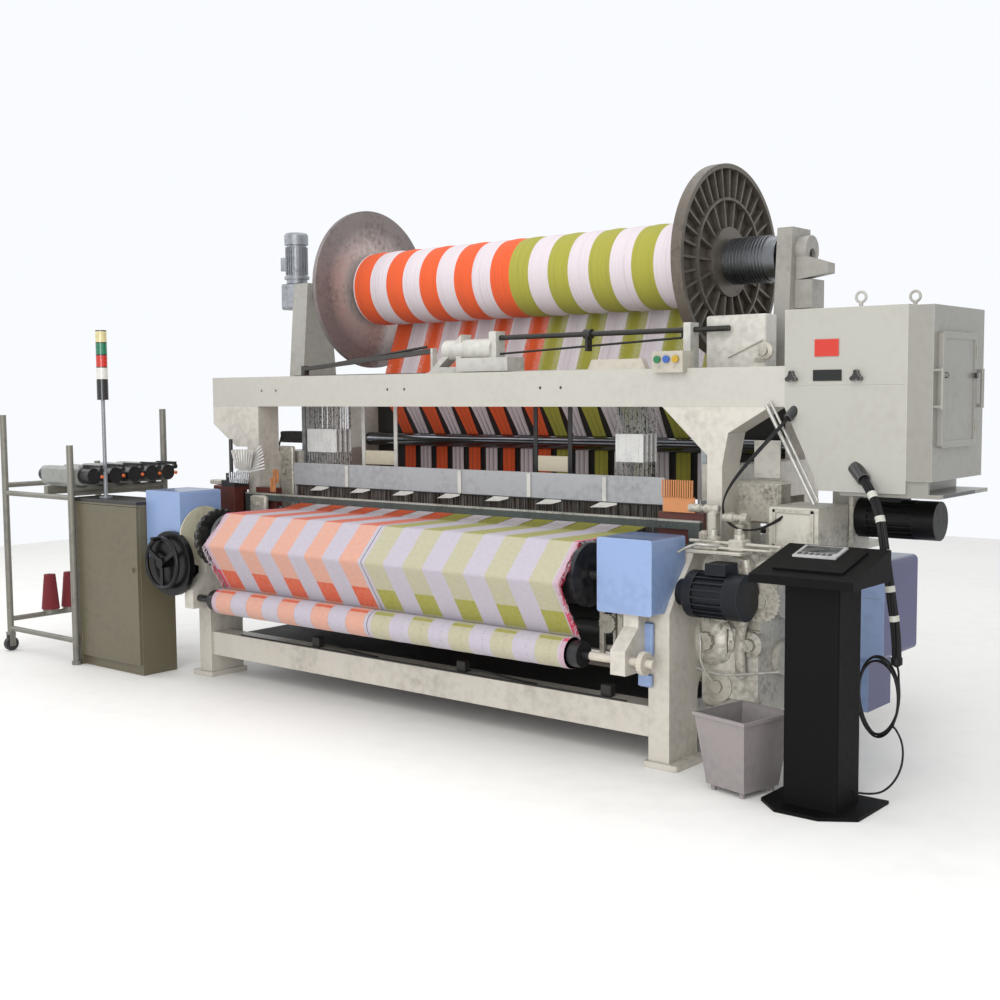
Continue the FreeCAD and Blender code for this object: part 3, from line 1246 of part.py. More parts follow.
def waste_bin():
    """Tapered open bin on four feet."""
    def skin(low_half, high_half, z0, z1):
        wires = []
        for half, z in ((low_half, z0), (high_half, z1)):
            corners = [V(-half[0], -half[1], z), V(half[0], -half[1], z)]
            corners += [V(half[0], half[1], z), V(-half[0], half[1], z)]
            wires.append(Part.makePolygon(corners + [corners[0]]))
        return Part.makeLoft(wires, True, True)

    outer = skin((105, 108), (140, 150), 25, BIN_H)
    inner = skin((101, 104), (136.4, 146.4), 29, BIN_H + 0.5)
    rim = box((-146, 146), (-156, 156), (BIN_H - 14, BIN_H))
    rim = rim.cut(box((-135, 135), (-145, 145), (BIN_H - 15, BIN_H + 1)))
    feet = [rod("z", (i * 80, j * 90), (0, 26), 12) for i in (-1, 1) for j in (-1, 1)]
    body = union(outer.cut(inner), rim, *feet)
    body.rotate(V(0, 0, 0), V(0, 0, 1), -13)
    body.translate(V(BIN_X, BIN_Y, 0))
    return body


node("waste_bin", waste_bin())


# ---- cords ------------------------------------------------------------------

def cable_coil():
    """Outer shape of the hanging coil: an upright oval ring."""
    centre = V(OUTER + COIL_X, COIL_Y - COIL_T / 2, COIL_Z)
    faces = []
    for shrink in (0.0, COIL_BAND):
        tall = V(0, 0, COIL_HALF[1] - shrink)
        wide = V(COIL_HALF[0] - shrink, 0, 0)
        curve = Part.Ellipse(centre + tall, centre + wide, centre)
        faces.append(Part.Face(Part.Wire(curve.toShape())))
    return faces[0].cut(faces[1]).extrude(V(0, COIL_T, 0))


cord("cable_bundle", BUNDLE, BUNDLE_D)
cord("console_lead", LEAD, LEAD_D)
cord("oil_hose", HOSE, HOSE_D)
node("cable_coil", cable_coil())
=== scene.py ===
import math

import bpy
import numpy as np
from mathutils import Matrix, Vector


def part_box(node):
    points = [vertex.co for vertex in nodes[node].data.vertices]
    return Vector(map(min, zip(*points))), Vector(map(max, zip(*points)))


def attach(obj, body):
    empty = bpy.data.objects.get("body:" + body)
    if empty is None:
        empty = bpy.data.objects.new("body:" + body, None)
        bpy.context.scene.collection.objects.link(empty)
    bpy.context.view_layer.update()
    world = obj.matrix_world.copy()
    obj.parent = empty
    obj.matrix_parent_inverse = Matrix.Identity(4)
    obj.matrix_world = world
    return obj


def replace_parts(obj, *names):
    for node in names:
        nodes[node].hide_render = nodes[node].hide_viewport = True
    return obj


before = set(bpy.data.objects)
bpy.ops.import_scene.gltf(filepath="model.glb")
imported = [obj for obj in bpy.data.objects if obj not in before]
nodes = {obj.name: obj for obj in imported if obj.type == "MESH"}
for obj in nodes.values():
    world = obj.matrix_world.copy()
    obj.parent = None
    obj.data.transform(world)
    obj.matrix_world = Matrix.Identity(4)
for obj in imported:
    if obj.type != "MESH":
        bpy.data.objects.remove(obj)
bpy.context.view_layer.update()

scene = bpy.context.scene

# ---- Camera -----------------------------------------------------------------
# A standing person's view from the cloth side, to the right of the loom. The matrix is built from the turn to the
# left, the dip below level and the lean to one side.
eye = Vector((4.731, -5.9, 1.68))
turn, dip, lean = (math.radians(angle) for angle in (39.47, 4.65, 0.44))
forward = Vector((-math.sin(turn) * math.cos(dip), math.cos(turn) * math.cos(dip), -math.sin(dip)))
level = Vector((math.cos(turn), math.sin(turn), 0.0))
upright = level.cross(forward)
across = level * math.cos(lean) - upright * math.sin(lean)
rise = upright * math.cos(lean) + level * math.sin(lean)
camera_data = bpy.data.cameras.new("camera")
camera_data.lens = 47.3
camera_data.sensor_width = 36.0
camera_data.clip_end = 100.0
camera = bpy.data.objects.new("camera", camera_data)
camera.matrix_world = Matrix((
    (across.x, rise.x, -forward.x, eye.x),
    (across.y, rise.y, -forward.y, eye.y),
    (across.z, rise.z, -forward.z, eye.z),
    (0, 0, 0, 1)))
scene.collection.objects.link(camera)
scene.camera = camera


# ---- Cables and the oil hose --------------------------------------------------
# A tied bundle of black cables leaves the dobby, hangs down its leg and ends in a moulded boot; one cable of it is
# put away in an upright coil and runs on over the floor to the console. Three oil lines strapped side by side join the
# dobby and the gear case.

ROOT = "loom_frame"


def shade(code):
    """Linear colour of an sRGB hex code."""
    parts = [int(code[i:i + 2], 16) / 255 for i in (0, 2, 4)]
    return [p / 12.92 if p <= 0.04045 else ((p + 0.055) / 1.055) ** 2.4 for p in parts]


def shader_group(name, inputs, outputs):
    """Empty node group; inputs are (label, kind, value) and outputs (label, kind), kinds Float, Vector or Color."""
    group = bpy.data.node_groups.new(name, "ShaderNodeTree")
    for label, kind, value in inputs:
        group.interface.new_socket(label, in_out="INPUT", socket_type="NodeSocket" + kind).default_value = value
    for label, kind in outputs:
        group.interface.new_socket(label, in_out="OUTPUT", socket_type="NodeSocket" + kind)
    return group, group.nodes.new("NodeGroupInput"), group.nodes.new("NodeGroupOutput")


def joined(tree, value, socket):
    """Sets a socket from a number or a hex colour, or links it to another socket."""
    if isinstance(value, bpy.types.NodeSocket):
        tree.links.new(value, socket)
    elif isinstance(value, str):
        socket.default_value = (*shade(value), 1.0)
    else:
        socket.default_value = value


def maths(operation):
    """Function that adds one kind of math node, on numbers or sockets, to a tree."""
    def added(tree, first, second=0.0, clamp=False):
        node = tree.nodes.new("ShaderNodeMath")
        node.operation = operation
        node.use_clamp = clamp
        joined(tree, first, node.inputs[0])
        joined(tree, second, node.inputs[1])
        return node.outputs[0]
    return added


add, minus, times = map(maths, ("ADD", "SUBTRACT", "MULTIPLY"))


def blended(tree, factor, first, second):
    """Colour that goes from first to second with factor."""
    node = tree.nodes.new("ShaderNodeMix")
    node.data_type = "RGBA"
    joined(tree, factor, node.inputs[0])
    joined(tree, first, node.inputs[6])
    joined(tree, second, node.inputs[7])
    return node.outputs[2]


def place(tree, axis=None):
    """Object coordinates, or one of their components."""
    source = tree.nodes.new("ShaderNodeTexCoord").outputs["Object"]
    if axis is None:
        return source
    parts = tree.nodes.new("ShaderNodeSeparateXYZ")
    tree.links.new(source, parts.inputs[0])
    return parts.outputs[axis]


def noise(tree, scale, detail=4.0, stretch=None):
    """Noise from 0 to 1 in object space; stretch scales each axis."""
    node = tree.nodes.new("ShaderNodeTexNoise")
    node.inputs["Detail"].default_value = detail
    joined(tree, scale, node.inputs["Scale"])
    source = place(tree)
    if stretch is not None:
        mapping = tree.nodes.new("ShaderNodeMapping")
        mapping.inputs["Scale"].default_value = stretch
        tree.links.new(source, mapping.inputs["Vector"])
        source = mapping.outputs[0]
    tree.links.new(source, node.inputs["Vector"])
    return node.outputs["Fac"]


def bumped(tree, height, strength, distance):
    """Normal of a relief."""
    bump = tree.nodes.new("ShaderNodeBump")
    bump.inputs["Distance"].default_value = distance
    joined(tree, height, bump.inputs["Height"])
    joined(tree, strength, bump.inputs["Strength"])
    return bump.outputs["Normal"]


def grime_group():
    """Mask = amount * 4 * (coarse noise * fine noise - 0.22): patches of dust and oil, from 0 to 1."""
    group, start, end = shader_group(
        "grime", [("Scale", "Float", 3.0), ("Amount", "Float", 0.5)], [("Mask", "Float")])
    coarse = noise(group, start.outputs["Scale"], 6.0)
    fine = noise(group, times(group, start.outputs["Scale"], 9.0), 4.0)
    patches = minus(group, times(group, coarse, fine), 0.22)
    spread = times(group, patches, 4.0, clamp=True)
    group.links.new(times(group, spread, start.outputs["Amount"]), end.inputs["Mask"])
    return group


def grain_group():
    """Normal of a fine noise relief, as on cast, sprayed and moulded faces."""
    group, start, end = shader_group(
        "grain", [("Scale", "Float", 200.0), ("Height", "Float", 0.1)], [("Normal", "Vector")])
    relief = noise(group, start.outputs["Scale"], 3.0)
    group.links.new(bumped(group, relief, start.outputs["Height"], 0.002), end.inputs["Normal"])
    return group


GRIME, GRAIN = grime_group(), grain_group()


def placed(tree, group, **values):
    """Group node in a material, with its inputs set."""
    node = tree.nodes.new("ShaderNodeGroup")
    node.node_tree = group
    for label, value in values.items():
        joined(tree, value, node.inputs[label])
    return node


def blank(name):
    """New material, with its node tree and its shader."""
    material = bpy.data.materials.new(name)
    material.use_nodes = True
    return material, material.node_tree, material.node_tree.nodes["Principled BSDF"]


def finish(name, colour, rough, metal=0.0, grime=0.35, dirt="16120F", scale=3.0, grain=220.0, relief=0.08,
           coat=0.0):
    """Material of a painted, cast, moulded or bare surface with grime in patches and a fine relief. Its colour is a
    hex code, or a function that gives a colour socket."""
    material, tree, shader = blank(name)
    base = colour(tree) if callable(colour) else colour
    mask = placed(tree, GRIME, Scale=scale, Amount=grime).outputs["Mask"]
    joined(tree, blended(tree, mask, base, dirt), shader.inputs["Base Color"])
    joined(tree, add(tree, times(tree, mask, 0.35), rough, clamp=True),
           shader.inputs["Roughness"])
    joined(tree, placed(tree, GRAIN, Scale=grain, Height=relief).outputs["Normal"], shader.inputs["Normal"])
    shader.inputs["Metallic"].default_value = metal
    shader.inputs["Coat Weight"].default_value = coat
    return material


def matt(material, level):
    """The same finish with a weaker reflection."""
    material.node_tree.nodes["Principled BSDF"].inputs["Specular IOR Level"].default_value = level
    return material


def woven(points, closed=False, capped=False):
    """Vertices and faces of a grid [rows, columns, 3]. A closed grid joins its last column to its first, and a
    capped one has a face over its first and last rows."""
    rows, columns = points.shape[:2]
    index = np.arange(rows * columns).reshape(rows, columns)
    here = index if closed else index[:, :-1]
    beside = np.roll(index, -1, axis=1) if closed else index[:, 1:]
    faces = np.stack([here[:-1], beside[:-1], beside[1:], here[1:]], -1).reshape(-1, 4).tolist()
    if capped:
        faces += [index[0][::-1].tolist(), index[-1].tolist()]
    return points.reshape(-1, 3), faces


def ridden(piece, body):
    """Puts a new piece in the scene and on its body."""
    scene.collection.objects.link(piece)
    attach(piece, body)
    return piece


def made(name, parts, material, body=ROOT, smooth=35.0):
    """One piece from (vertices, faces) parts, with its finish and the body it rides on. Edges
    sharper than smooth degrees stay sharp."""
    vertices = np.concatenate([np.asarray(v, float) for v, _ in parts])
    starts = np.cumsum([0] + [len(v) for v, _ in parts])
    faces = [[int(i) + int(start) for i in face] for start, (_, part) in zip(starts, parts) for face in part]
    mesh = bpy.data.meshes.new(name)
    mesh.from_pydata(vertices.tolist(), [], faces)
    mesh.materials.append(material)
    mesh.update()
    mesh.shade_smooth()
    if smooth < 180:
        mesh.set_sharp_from_angle(angle=math.radians(smooth))
    return ridden(bpy.data.objects.new(name, mesh), body)


def carried(path, section, aside=(0, 1, 0), capped=True):
    """A section [columns, 2] or [rows, columns, 2] carried along a path [rows, 3]: each point is the path point plus
    its two section values times the two normals, of which the first is square to the path and to aside."""
    path = np.asarray(path, float)
    along = np.gradient(path, axis=0)
    along /= np.linalg.norm(along, axis=1, keepdims=True)
    first = np.cross(np.asarray(aside, float), along)
    first /= np.linalg.norm(first, axis=1, keepdims=True)
    second = np.cross(along, first)
    section = np.broadcast_to(section, (len(path), *np.shape(section)[-2:]))
    points = path[:, None] + section[..., :1] * first[:, None] + section[..., 1:] * second[:, None]
    return woven(points, closed=True, capped=capped)


def ring(radius, sides=12):
    """Circle section [sides, 2], anticlockwise."""
    angle = np.arange(sides) * 2 * math.pi / sides
    return radius * np.stack([np.cos(angle), np.sin(angle)], -1)


def nurbs(name, points):
    """Curve on a smooth line with those control points."""
    data = bpy.data.curves.new(name, "CURVE")
    data.dimensions = "3D"
    data.resolution_u = 12
    spline = data.splines.new("NURBS")
    spline.points.add(len(points) - 1)
    for point, control in zip(spline.points, points):
        point.co = (*control, 1.0)
    spline.order_u = 3
    spline.use_endpoint_u = True
    return data


def route(name, points, diameter, material):
    """Round cord on a smooth line with those control points."""
    data = nurbs(name, points)
    data.bevel_depth = diameter / 2
    data.bevel_resolution = 3
    data.use_fill_caps = True
    data.materials.append(material)
    return ridden(bpy.data.objects.new(name, data), ROOT)


def line_of(points):
    """Points along the smooth line with those control points."""
    carrier = bpy.data.objects.new("line", nurbs("line", points))
    scene.collection.objects.link(carrier)
    mesh = bpy.data.meshes.new_from_object(carrier)
    line = np.array([vertex.co for vertex in mesh.vertices])
    bpy.data.objects.remove(carrier)
    bpy.data.meshes.remove(mesh)
    return line


cable_rubber = matt(finish("cable_rubber", "0B0B0C", 0.45, grime=0.4, dirt="24211E", scale=9.0), 0.25)
tie_nylon = finish("tie_nylon", "B5B4AB", 0.5, scale=30.0)

bundle_line = line_of([(2.390, -0.632, 1.302), (2.482, -0.706, 1.225), (2.532, -0.742, 1.050),
                       (2.565, -0.748, 0.850), (2.588, -0.734, 0.680), (2.586, -0.722, 0.550)])
STRANDS, CORE, LOBE = 9, 0.0150, 0.0050          # cables seen round it, its least radius, how far a cable stands out
BUNDLE_SIDES = 72
share = np.linspace(0, 1, len(bundle_line))
angle = np.arange(BUNDLE_SIDES) * 2 * math.pi / BUNDLE_SIDES
lobes = np.abs(np.cos(STRANDS / 2 * (angle - 2.2 * share[:, None])))
radius = CORE + LOBE * lobes
bundle_section = radius[..., None] * np.stack([np.cos(angle), np.sin(angle)], -1)
bundle = made("cable_bundle_look", [carried(bundle_line, bundle_section)], cable_rubber)
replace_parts(bundle, "cable_bundle")
ties = []
for tie_share in (0.10, 0.24, 0.44, 0.63, 0.82):
    at = int(tie_share * (len(bundle_line) - 4))
    ties.append(carried(bundle_line[at:at + 3], ring(0.0208, 24), capped=False))
bundle_ties = made("bundle_ties", ties, tie_nylon)
boot_line = bundle_line[-1] + np.array([(0, 0, 0.030), (0, 0, 0.026), (0, 0, 0.0), (0, 0, -0.012)])
boot_size = np.array([0.0205, 0.0235, 0.0235, 0.0080])[:, None, None] * ring(1.0, 24)
boot = made("bundle_boot", [carried(boot_line, boot_size)], cable_rubber)

COIL = Vector((2.504, -0.720, 0.400))
coil_turn = np.radians(np.linspace(30.0, -40.0 - 4 * 360.0, 56))
coil_share = np.linspace(0, 1, len(coil_turn))
half_wide = 0.090 + 0.010 * np.sin(1.9 * coil_turn / 6.28 * 3.1)
half_high = 0.168 + 0.012 * np.sin(1.3 * coil_turn / 6.28 * 2.3 + 1.0)
coil_points = np.stack([COIL.x + half_wide * np.cos(coil_turn),
                        COIL.y + 0.019 - 0.041 * coil_share,
                        COIL.z + half_high * np.sin(coil_turn)], -1)
console_points = [(2.586, -0.722, 0.550), (2.592, -0.714, 0.520), *coil_points.tolist(),
                  (2.590, -0.741, 0.290), (2.628, -0.742, 0.225), (2.650, -0.800, 0.145), (2.638, -0.880, 0.080),
                  (2.596, -0.950, 0.052), (2.527, -0.985, 0.062)]
console_cable = route("console_cable", console_points, 0.009, cable_rubber)
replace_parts(console_cable, "cable_coil", "console_lead")

hose_line = line_of([
    (2.032, -0.628, 1.560), (2.010, -0.690, 1.505), (1.940, -0.718, 1.420), (1.850, -0.722, 1.325),
    (1.772, -0.716, 1.225), (1.750, -0.708, 1.140), (1.795, -0.700, 1.072), (1.882, -0.688, 1.056),
    (1.960, -0.654, 1.082), (1.995, -0.597, 1.118)])
HOSE = 0.0039
half_turn = np.linspace(0, math.pi, 6)
under = [(c - HOSE * math.cos(k), -HOSE * math.sin(k)) for c in (-2 * HOSE, 0, 2 * HOSE) for k in half_turn]
over = [(c + HOSE * math.cos(k), HOSE * math.sin(k)) for c in (2 * HOSE, 0, -2 * HOSE) for k in half_turn]
twist = np.linspace(0.2, 1.5, len(hose_line))[:, None]
flat_section = np.array(under + over)
hose_section = np.stack([flat_section[:, 0] * np.cos(twist) - flat_section[:, 1] * np.sin(twist),
                         flat_section[:, 0] * np.sin(twist) + flat_section[:, 1] * np.cos(twist)], -1)
oil_hose = made("oil_hose_look", [carried(hose_line, hose_section, aside=(0.3, 1, 0.2))], cable_rubber)
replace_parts(oil_hose, "oil_hose")


# ---- Side frames, cross beams, girder and arch brackets -----------------------
# Two cast side frames joined by beams and, on arch brackets, by a welded box girder. They all wear one coat of pale
# enamel, with oily dust on the ledges; the girder is cleaner.

def wear_group():
    """Mask of the convex edges where a coat is rubbed: the bevelled normal's turn from the face, broken by noise."""
    group, start, end = shader_group("wear", [("Size", "Float", 0.004), ("Amount", "Float", 1.0)],
                                     [("Mask", "Float")])
    bevel = group.nodes.new("ShaderNodeBevel")
    bevel.samples = 4
    joined(group, start.outputs["Size"], bevel.inputs["Radius"])
    geometry = group.nodes.new("ShaderNodeNewGeometry")
    dot = group.nodes.new("ShaderNodeVectorMath")
    dot.operation = "DOT_PRODUCT"
    group.links.new(bevel.outputs["Normal"], dot.inputs[0])
    group.links.new(geometry.outputs["True Normal"], dot.inputs[1])
    turned = minus(group, 1.0, dot.outputs["Value"])
    rubbed = times(group, turned, times(group, noise(group, 30.0), 14.0), clamp=True)
    group.links.new(times(group, rubbed, start.outputs["Amount"]), end.inputs["Mask"])
    return group


WEAR = wear_group()


def worn(material, under, amount=0.7):
    """Adds rubbed edges that show what is under the coat."""
    tree = material.node_tree
    shader = tree.nodes["Principled BSDF"]
    coat = shader.inputs["Base Color"].links[0].from_socket
    mask = placed(tree, WEAR, Size=0.004, Amount=amount).outputs["Mask"]
    joined(tree, blended(tree, mask, coat, under), shader.inputs["Base Color"])
    return material


def dress(material, *names):
    """Gives CAD nodes a finish in every material slot."""
    for name in names:
        for slot in nodes[name].material_slots:
            slot.material = material


def settled(tree, clean, dusty):
    """Paint that is dirtier near the floor and streaked downwards."""
    height = times(tree, place(tree, "Z"), 0.7)
    streaks = noise(tree, 1.0, 4.0, (14.0, 14.0, 1.2))
    soiled = minus(tree, times(tree, streaks, 1.5), add(tree, height, 0.1), clamp=True)
    return blended(tree, times(tree, soiled, 0.6), clean, dusty)


frame_enamel = worn(finish("frame_enamel", lambda tree: settled(tree, "B7B2A8", "A8A196"), 0.42, grime=0.38,
                           dirt="6E665C", relief=0.12, coat=0.2), "746E65")
girder_enamel = finish("girder_enamel", lambda tree: settled(tree, "A9A69E", "99948A"), 0.4, grime=0.2,
                       dirt="837B71", relief=0.06, coat=0.2)
dress(frame_enamel, "left_side_frame", "right_side_frame", "cross_beams", "left_arch_bracket",
      "right_arch_bracket")
dress(worn(finish("column_enamel", lambda tree: settled(tree, "918E87", "817C73"), 0.42, grime=0.35, dirt="5A544C"),
           "746E65"),
      "beam_columns")
dress(girder_enamel, "arch_girder")


# ---- Pile and ground warp beams, with their flanges -----------------------------
# Two steel barrels wound with coloured cotton ends; the pile beam sits high between cast flanges, smooth on the left
# and ribbed on the right, and its let-off motor stands on the left column.

above, below, divided, modulo = map(maths, ("GREATER_THAN", "LESS_THAN", "DIVIDE", "MODULO"))
absolute, floored, raised, rooted = map(maths, ("ABSOLUTE", "FLOOR", "POWER", "SQRT"))


def turned_metal(name, colour, rough, axis, grime=0.3):
    """Bare metal with streaks of roughness round its axis."""
    material = finish(name, colour, rough, metal=1.0, grime=grime, relief=0.04)
    tree = material.node_tree
    shader = tree.nodes["Principled BSDF"]
    base = shader.inputs["Roughness"].links[0].from_socket
    stretch = [600.0 if letter == axis else 3.0 for letter in "XYZ"]
    streak = times(tree, minus(tree, noise(tree, 1.0, 2.0, stretch), 0.5), 0.4)
    joined(tree, add(tree, base, streak, clamp=True), shader.inputs["Roughness"])
    return material


def flange_colour(tree):
    """Dark cast plate with ribs on the right; the left plate is paler round the yarn and darkens to its rim."""
    low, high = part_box("pile_flanges")
    middle = (low + high) / 2
    squares = [raised(tree, minus(tree, place(tree, axis), at), 2.0) for axis,
               at in (("Y", middle.y), ("Z", middle.z))]
    outward = rooted(tree, add(tree, *squares))
    bright = times(tree, minus(tree, 0.40, outward), 7.0, clamp=True)
    left_plate = blended(tree, bright, "77706E", "B7ABA6")
    left = below(tree, place(tree, "X"), 0.0)
    return blended(tree, left, "625B52", left_plate)


SEAM_X, BAND = -0.03, 0.139          # middle of the warp, and one colour band


def band_group():
    """Colour across the warp: bands of BAND metres from the seam outwards, every second one white, the others warm
    on the left of the seam and green on the right."""
    group, start, end = shader_group(
        "bands", [("Warm", "Color", (1, 0, 0, 1)), ("Pale", "Color", (1, 1, 1, 1)), ("Green", "Color", (0, 1, 0, 1))],
        [("Color", "Color"), ("Pale Band", "Float"), ("Green Side", "Float")])
    shift = minus(group, place(group, "X"), SEAM_X)
    count = floored(group, divided(group, absolute(group, shift), BAND))
    side = above(group, shift, 0.0)
    pale_band = modulo(group, count, 2.0)
    hue = blended(group, side, start.outputs["Warm"], start.outputs["Green"])
    group.links.new(blended(group, pale_band, hue, start.outputs["Pale"]), end.inputs["Color"])
    group.links.new(pale_band, end.inputs["Pale Band"])
    group.links.new(side, end.inputs["Green Side"])
    return group


BANDS = band_group()
ORANGE, WHITE_YARN, GREEN = "D04C0C", "C6BCC0", "93902A"


def yarn(name):
    """Cotton ends side by side: banded colour, painted shade in a darker line every few ends, lint, and a sheen of
    fibres.
    """
    material, tree, shader = blank(name)
    colour = placed(tree, BANDS, Warm=ORANGE, Pale=WHITE_YARN, Green=GREEN).outputs["Color"]
    groups = noise(tree, 1.0, 2.0, (160.0, 1.5, 1.5))
    ends = noise(tree, 1.0, 2.0, (900.0, 4.0, 4.0))
    # Painted shade: a darker line between groups of ends.
    shadow = times(tree, minus(tree, groups, 0.55), 2.2, clamp=True)
    shaded = blended(tree, times(tree, shadow, 0.6), colour, "3E312C")
    light = blended(tree, times(tree, ends, 0.08), shaded, "D6D6D6")
    joined(tree, light, shader.inputs["Base Color"])
    shader.inputs["Roughness"].default_value = 0.85
    shader.inputs["Specular IOR Level"].default_value = 0.15
    shader.inputs["Sheen Weight"].default_value = 0.05
    joined(tree, bumped(tree, ends, 0.6, 0.0012), shader.inputs["Normal"])
    return material


def wound_roll(name, node, radius, ridge, body):
    """Yarn package: a barrel whose radius is its full size less a ridge that swells with sin^2 across each band and a
    smaller wave from layer to layer."""
    low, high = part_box(node)
    centre = (low + high) / 2
    x = np.linspace(low.x, high.x, 500)[:, None]
    angle = (np.arange(96) * 2 * math.pi / 96)[None]
    swell = np.sin((x - SEAM_X) / BAND * math.pi) ** 2
    layers = 0.5 + 0.5 * np.sin(x * 310.0 + 2.0 * np.sin(angle + x * 5.0))
    size = radius - ridge * (1 - swell) - 0.25 * ridge * layers
    points = np.stack([np.broadcast_to(x, size.shape), centre.y + size * np.cos(angle),
                       centre.z + size * np.sin(angle)], -1)
    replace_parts(made(name, [woven(points, closed=True, capped=True)], warp_yarn, body), node)


warp_yarn = yarn("warp_yarn")
wound_roll("pile_package", "pile_yarn_roll", 0.230, 0.004, "pile_warp_beam")
wound_roll("ground_package", "ground_yarn_roll", 0.250, 0.003, "ground_warp_beam")
dress(finish("flange_iron", flange_colour, 0.45, metal=0.45, grime=0.45, scale=4.0, relief=0.15), "pile_flanges")
dress(turned_metal("barrel_steel", "818386", 0.35, "X"), "pile_beam", "ground_beam", "warp_bars")
gearbox_grey = finish("gearbox_grey", "8E9196", 0.4, metal=0.6, grime=0.4, relief=0.15)
dress(gearbox_grey, "letoff_gearbox", "letoff_motor")


# ---- Warp sheets and chrome roller ---------------------------------------------
# The pile ends come off the front of the upper beam, pass two bars and the chrome measuring roller and go level to the
# healds; the ground ends come from the lower beam. Below the roller the ends of a band draw together.

def threaded(rollers, arcs=7):
    """Line (y, z) of a sheet over rollers (y, z, radius, side): a run between two rollers leaves at the angle of the
    line of centres less arcsin((r1 s1 - r0 s0) / distance), and points round the roller join two runs."""
    leave = []
    for (y0, z0, r0, s0), (y1, z1, r1, s1) in zip(rollers, rollers[1:]):
        reach = math.hypot(y1 - y0, z1 - z0)
        leave.append(math.atan2(z1 - z0, y1 - y0) - math.asin((r1 * s1 - r0 * s0) / reach))
    line = []
    for number, (y, z, radius, side) in enumerate(rollers):
        come = leave[max(number - 1, 0)]
        go = leave[min(number, len(leave) - 1)]
        go = come + (go - come + math.pi) % (2 * math.pi) - math.pi
        inner = 0 < number < len(rollers) - 1 and radius > 0
        for angle in np.linspace(come, go, arcs) if inner else (come,):
            line.append((y + side * radius * math.sin(angle), z - side * radius * math.cos(angle)))
    return np.array(line)


def spaced(line, step):
    """Points every step metres along a line, with its own corners kept."""
    points = [line[:1]]
    for start, stop in zip(line, line[1:]):
        count = max(1, int(np.linalg.norm(stop - start) / step))
        points.append(start + (stop - start) * (np.arange(1, count + 1) / count)[:, None])
    return np.concatenate(points)


FELL = (-0.655, 1.0025, 0.0, 1)
pile_rollers = [(0.200, 2.350, 0.2315, -1), (0.222, 1.710, 0.0215, 1), (0.350, 1.385, 0.0435, -1),
                (0.372, 1.0215, 0.0215, -1), (-0.270, 1.060, 0.0, 1), FELL]
ground_rollers = [(0.860, 0.560, 0.2515, -1), (0.578, 0.918, 0.0215, 1), (-0.270, 0.940, 0.0, 1),
                  (-0.655, 0.9975, 0.0, 1)]
BAND_COUNT, ENDS_PER_BAND = 18, 15
WARP_LEFT = -1.280                  # outer edge of the first band
GATHERED = 0.95                     # how far the ends of a band go to their clusters
DRAWN_FROM, DRAWN_OVER = 0.22, 0.16  # shares of the run over which they draw together
PARTED_AT, PARTED_OVER = 1.02, 0.45  # and over which they part again


def warp(name, rollers):
    """Sheet of ribbons. Along the run each goes from its even place in its band towards one of three clusters, by a
    smooth step of the distance run, and back; the last two of five are thinner there in white bands."""
    line = spaced(threaded(rollers), 0.05)
    run = np.concatenate([[0.0], np.cumsum(np.linalg.norm(np.diff(line, axis=0), axis=1))])
    share = run / run[-1]
    drawn = np.clip((share - DRAWN_FROM) / DRAWN_OVER, 0, 1)
    drawn = (drawn * drawn * (3 - 2 * drawn)) * np.clip((PARTED_AT - share) / PARTED_OVER, 0, 1)
    band = np.arange(BAND_COUNT)[:, None]
    end = np.arange(ENDS_PER_BAND)[None]
    middle = (WARP_LEFT + BAND * (band + 0.5)).repeat(ENDS_PER_BAND, 1).ravel()
    even = (((end + 0.5) / ENDS_PER_BAND - 0.5) * BAND).repeat(BAND_COUNT, 0).ravel()
    cluster = ((np.floor(end / 5) - 1) * 0.24 * BAND + ((end % 5) - 2) * 0.044 * BAND).repeat(BAND_COUNT, 0).ravel()
    sparse = (np.floor(np.abs(middle - SEAM_X) / BAND) % 2 > 0) & (np.tile(np.arange(ENDS_PER_BAND),
            BAND_COUNT) % 5 > 2)
    wander = 0.0016 * np.sin(np.arange(middle.size) * 12.9898) * np.sin(3 * math.pi * share[:, None])
    drawn = drawn[:, None]
    x = middle + (even + (cluster * GATHERED - even) * drawn) + wander
    half = 0.5 * BAND / ENDS_PER_BAND * (0.97 - 0.30 * drawn - 0.25 * sparse * drawn) * np.ones_like(x)
    left = np.stack([x - half, *(np.broadcast_to(line[:, i:i + 1], x.shape) for i in (0, 1))], -1)
    right = left + np.stack([2 * half, 0 * half, 0 * half], -1)
    parts = [woven(np.stack([left[:, i], right[:, i]], 1)) for i in range(x.shape[1])]
    piece = made(name, parts, warp_yarn, smooth=180)
    return piece


pile_warp = warp("pile_warp", pile_rollers)
warp("ground_warp", ground_rollers)
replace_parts(pile_warp, "warp_sheets")
# The chrome's colour is darkened as a painted reflection of dark surroundings.
dress(turned_metal("roller_chrome", "6A6C70", 0.12, "X", 0.25), "chrome_roller")


# ---- Heald frames and heddles ---------------------------------------------------
# Four light metal frames in pairs lift the warp ends by turns. Only bundles of spare heddles and the frame stays show
# over the reed; white packs at both ends, dark and pale posts between them.

def strands(paths, radius, flat=1.0):
    """Many thin four-sided threads at once, from paths [threads, points, 3]: corners at plus and minus radius along
    X and, times flat, along Y."""
    corners = np.array([(radius, 0, 0), (0, radius * flat, 0), (-radius, 0, 0), (0, -radius * flat, 0)])
    tubes = paths[:, :, None] + corners
    threads, rows = paths.shape[:2]
    index = np.arange(threads * rows * 4).reshape(threads, rows, 4)
    beside = np.roll(index, -1, axis=2)
    faces = np.stack([index[:, :-1], beside[:, :-1], beside[:, 1:], index[:, 1:]], -1).reshape(-1, 4)
    return tubes.reshape(-1, 3), faces.tolist()


